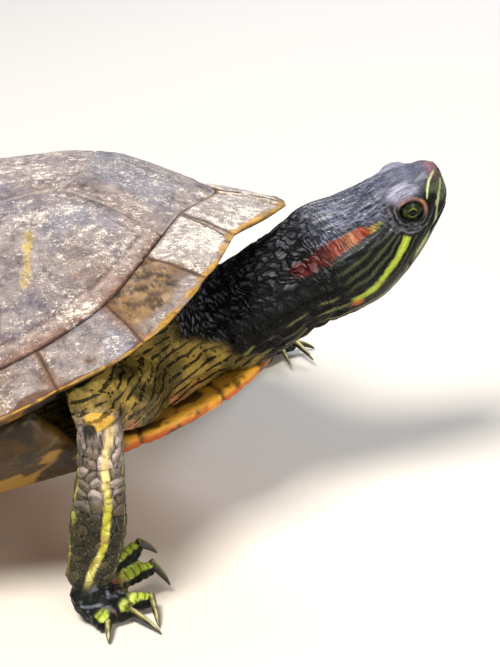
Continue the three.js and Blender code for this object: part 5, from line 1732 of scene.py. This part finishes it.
def wet_skin(name):
    """Skin in the painted colours: pleated on the neck, streaked on the temple, squiggled in the armpits, with
    painted light and shade on the pleats and streaks.
    """
    mat = material(name)
    place = node(mat, "TexCoord", out="Object")
    flow = node(mat, "Attribute", {"attribute_name": "flow"}, "Vector")
    tint = node(mat, "Attribute", {"attribute_name": "tint"}, "Color")
    web, soft, streaky = (
        node(mat, "Attribute", {"attribute_name": key}, "Fac") for key in ("web", "soft", "streaky"))
    # the grain of such skin is finer than this, and drawn 0.6 mm across so that it shows
    fine = node(mat, "TexNoise", {"Scale": 1000 / 0.6, "Detail": 5.0, "Roughness": 0.7}, Vector=place)
    coarse = node(mat, "TexNoise", {"Scale": 1000 / 2.2, "Detail": 4.0, "Roughness": 0.6}, Vector=place)
    tone = node(mat, "MapRange", {1: 0.3, 2: 0.7, 3: 0.72, 4: 1.26}, Value=fine)
    colour = node(mat, "VectorMath", {"operation": "SCALE"}, _0=tint, Scale=tone)
    # small folds of the neck, with painted shade between them and a painted slate highlight on their backs
    drift = node(mat, "TexNoise", {"Scale": 0.22, "Detail": 2.0}, "Color", Vector=flow)
    bent = node(mat, "VectorMath", {"operation": "MULTIPLY_ADD", 1: (4, 4, 0)}, _0=drift, _2=flow)
    pleat = None
    for degrees, long, broad, least in ((64, 4.4, 1.4, 0.0), (-40, 2.4, 0.95, 0.5)):
        net = node(mat, "Mapping", drawn_out(degrees, long, broad), Vector=bent)
        net = node(mat, "TexVoronoi", {"feature": "DISTANCE_TO_EDGE", "Scale": 1.0}, Vector=net)
        net = node(mat, "MapRange", {1: 0.0, 2: 0.24, 3: least, 4: 1.0}, Value=net)
        pleat = net if pleat is None else node(mat, "Math", TIMES, _0=pleat, _1=net)
    patchy = node(mat, "TexNoise", {"Scale": 0.25, "Detail": 3.0, "Roughness": 0.65}, Vector=flow)
    patchy = node(mat, "MapRange", {1: 0.36, 2: 0.6, 3: 0.09, 4: 0.6}, Value=patchy)
    back = node(mat, "MapRange", {1: 0.45, 2: 0.95}, Value=pleat)
    back = node(mat, "Math", TIMES, _0=node(mat, "Math", TIMES, _0=back, _1=web), _1=patchy)
    colour = node(mat, "Mix", blend_of("#6b6e78"), 2, _0=back, _6=colour)
    crease = node(mat, "MapRange", {1: 0.0, 2: 0.5, 3: 0.85, 4: 0.0}, Value=pleat)
    crease = node(mat, "Math", TIMES, _0=crease, _1=web)
    colour = node(mat, "Mix", blend_of("#040506"), 2, _0=crease, _6=colour)
    # long fine streaks of the temple, pale on their ridges and dark in their grooves as painted highlight and
    # shade, with a few short bright painted glints
    lines = node(mat, "Mapping", drawn_out(0, 9.0, 0.8), Vector=flow)
    streak = node(mat, "TexNoise", {"Scale": 1.0, "Detail": 3.0, "Roughness": 0.6}, Vector=lines)
    lines = node(mat, "Mapping", drawn_out(14, 2.4, 0.6), Vector=flow)
    painted_glint = node(mat, "TexNoise", {"Scale": 1.0, "Detail": 2.0, "Roughness": 0.65}, Vector=lines)
    for code, mark, low, high, most in (
            ("#858ca4", streak, 0.55, 0.61, 0.5), ("#dfe2e8", painted_glint, 0.67, 0.71, 0.7),
            ("#101114", streak, 0.46, 0.36, 0.6)):
        share = node(mat, "MapRange", {1: low, 2: high, 3: 0.0, 4: most}, Value=mark)
        share = node(mat, "Math", TIMES, _0=share, _1=streaky)
        colour = node(mat, "Mix", blend_of(code), 2, _0=share, _6=colour)
    # black squiggles 6.5 by 2.6 mm, and dots 2.9 mm apart, on the loose skin round the forelegs
    along = node(mat, "Mapping", drawn_out(-24, 0.0065, 0.0026, 1), Vector=place)
    wave = {"bands_direction": "Z", "Scale": 0.314, "Distortion": 7.0, "Detail": 2.0, "Detail Scale": 0.9}
    squiggle = node(mat, "MapRange", {1: 0.7, 2: 0.86}, Value=node(mat, "TexWave", wave, "Fac", Vector=along))
    broken = node(mat, "TexNoise", {"Scale": 1.25, "Detail": 2.0, "Roughness": 0.65}, Vector=along)
    broken = node(mat, "MapRange", {1: 0.4, 2: 0.46}, Value=broken)
    squiggle = node(mat, "Math", TIMES, _0=squiggle, _1=broken)
    dots = node(mat, "TexVoronoi", {"Scale": 1000 / 2.9}, "Distance", Vector=place)
    dots = node(mat, "MapRange", {1: 0.15, 2: 0.22, 3: 1.0, 4: 0.0}, Value=dots)
    marks = node(mat, "Math", {"operation": "MAXIMUM"}, _0=squiggle, _1=dots)
    marks = node(mat, "Math", TIMES, _0=marks, _1=soft)
    marks = node(mat, "Math", {**TIMES, 1: 0.92}, _0=marks)
    colour = node(mat, "Mix", blend_of("#100f0a"), 2, _0=marks, _6=colour)
    height = node(mat, "Math", {**TIMES, 1: 0.4}, _0=fine)
    grooves = node(mat, "Math", TIMES, _0=squiggle, _1=soft)
    ridges = node(mat, "Math", TIMES, _0=streak, _1=streaky)
    for part, weight in ((coarse, 0.8), (crease, -1.05), (ridges, 0.9), (grooves, -0.5)):
        part = node(mat, "Math", {**TIMES, 1: weight}, _0=part)
        height = node(mat, "Math", PLUS, _0=height, _1=part)
    shine = node(mat, "MapRange", {1: 0.3, 2: 0.7, 3: 0.17, 4: 0.36}, Value=fine)
    return surface(mat, colour, shine, height, 0.5, 0.07)


# Keratin scutes, dry and sun-bleached: a dull broken sheen under a dusty white bloom.
DRY_HORN = scute_horn("keratin_scute")
# Plastron keratin, smoother and less worn: a soft wax-like sheen.
BELLY_HORN = plain_horn("keratin_plastron", 0.4, 0.8, 0.12, 0.15, 0.25)
# Scaled skin, still damp: small bright glints along every wrinkle.
DAMP_SKIN = wet_skin("scaled_skin")
# Claw keratin: smooth dark horn with a tight highlight.
CLAW_HORN = plain_horn("keratin_claw", 0.3, 0.6, 0.04, 0.12, 0.4)
# The wet cornea over the iris: one small sharp highlight.
WET_EYE = plain_horn("cornea", 0.12, 2.0, 0.0, 0.05, 0.14)

for pieces, mat, slot in (
    (shell_pieces, DRY_HORN, "carapace_horn"), (plastron_pieces, BELLY_HORN, "plastron_horn"),
    ([skin], DAMP_SKIN, "skin"), (claws, CLAW_HORN, "claw"), (eyes, WET_EYE, "eye")):
    for piece in pieces:
        piece.data.materials.clear()
        piece.data.materials.append(mat)
        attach(piece, "root")


# ---------------------------------------------------------------- floor, light and camera
def plane(name, size, colour):
    mesh = bpy.data.meshes.new(name)
    corners = [(-size, -size, 0), (size, -size, 0), (size, size, 0), (-size, size, 0)]
    mesh.from_pydata(corners, [], [(0, 1, 2, 3)])
    obj = bpy.data.objects.new(name, mesh)
    scene.collection.objects.link(obj)
    # Plain pale card: no gloss, so that only the animal draws the eye.
    mat = material(name + "_card")
    body = node(mat, "BsdfPrincipled", {"Base Color": (*ink(colour), 1), "Roughness": 0.9})
    node(mat, "OutputMaterial", Surface=body)
    obj.data.materials.append(mat)


def lamp(name, at_m, aim_m, size, power, colour):
    data = bpy.data.lights.new(name, "AREA")
    data.shape = "DISK"
    data.size, data.energy, data.color = size, power, tuple(ink(colour))
    obj = bpy.data.objects.new(name, data)
    scene.collection.objects.link(obj)
    back = unit(np.array(at_m, float) - aim_m)
    side = unit(np.cross([0, 0, 1], back))
    turn = Matrix(np.column_stack([side, np.cross(back, side), back]).tolist()).to_4x4()
    obj.matrix_world = Matrix.Translation(at_m) @ turn


plane("floor", 4.0, "#cfccc6")
lamp("key", (-0.25, -0.5, 1.0), (0.02, 0, 0.05), 0.42, 22, "#fff6ea")
lamp("fill", (0.55, -0.95, 0.42), (0.05, 0, 0.06), 0.7, 9, "#fff3e0")
lamp("back", (0.3, 0.9, 0.8), (0, 0, 0.05), 0.6, 9, "#eef2ff")

world = bpy.data.worlds.new("sky")
world.use_nodes = True
world.node_tree.nodes["Background"].inputs["Color"].default_value = (*ink("#dfe6ee"), 1)
world.node_tree.nodes["Background"].inputs["Strength"].default_value = 0.26
scene.world = world
scene.view_settings.view_transform = "Standard"

CAMERA_AT = (158.6, -506.1, 257.0)
AZIMUTH, ELEVATION, CAMERA_ROLL = math.radians(0.62), math.radians(22.09), math.radians(-2.93)
HALF_VIEW = math.radians(10)
back = np.array([
    math.sin(AZIMUTH) * math.cos(ELEVATION), -math.cos(AZIMUTH) * math.cos(ELEVATION), math.sin(ELEVATION)])
right = np.array([math.cos(AZIMUTH), math.sin(AZIMUTH), 0])
above = np.cross(back, right)
camera_x = right * math.cos(CAMERA_ROLL) + above * math.sin(CAMERA_ROLL)
camera_y = above * math.cos(CAMERA_ROLL) - right * math.sin(CAMERA_ROLL)
camera = bpy.data.objects.new("camera", bpy.data.cameras.new("camera"))
camera.data.sensor_width = 36
camera.data.lens = camera.data.sensor_width / 2 / math.tan(HALF_VIEW)
camera.data.clip_start, camera.data.clip_end = 0.05, 20
turned = Matrix(np.column_stack([camera_x, camera_y, back]).tolist()).to_4x4()
camera.matrix_world = Matrix.Translation(metres(CAMERA_AT)) @ turned
scene.collection.objects.link(camera)
scene.camera = camera
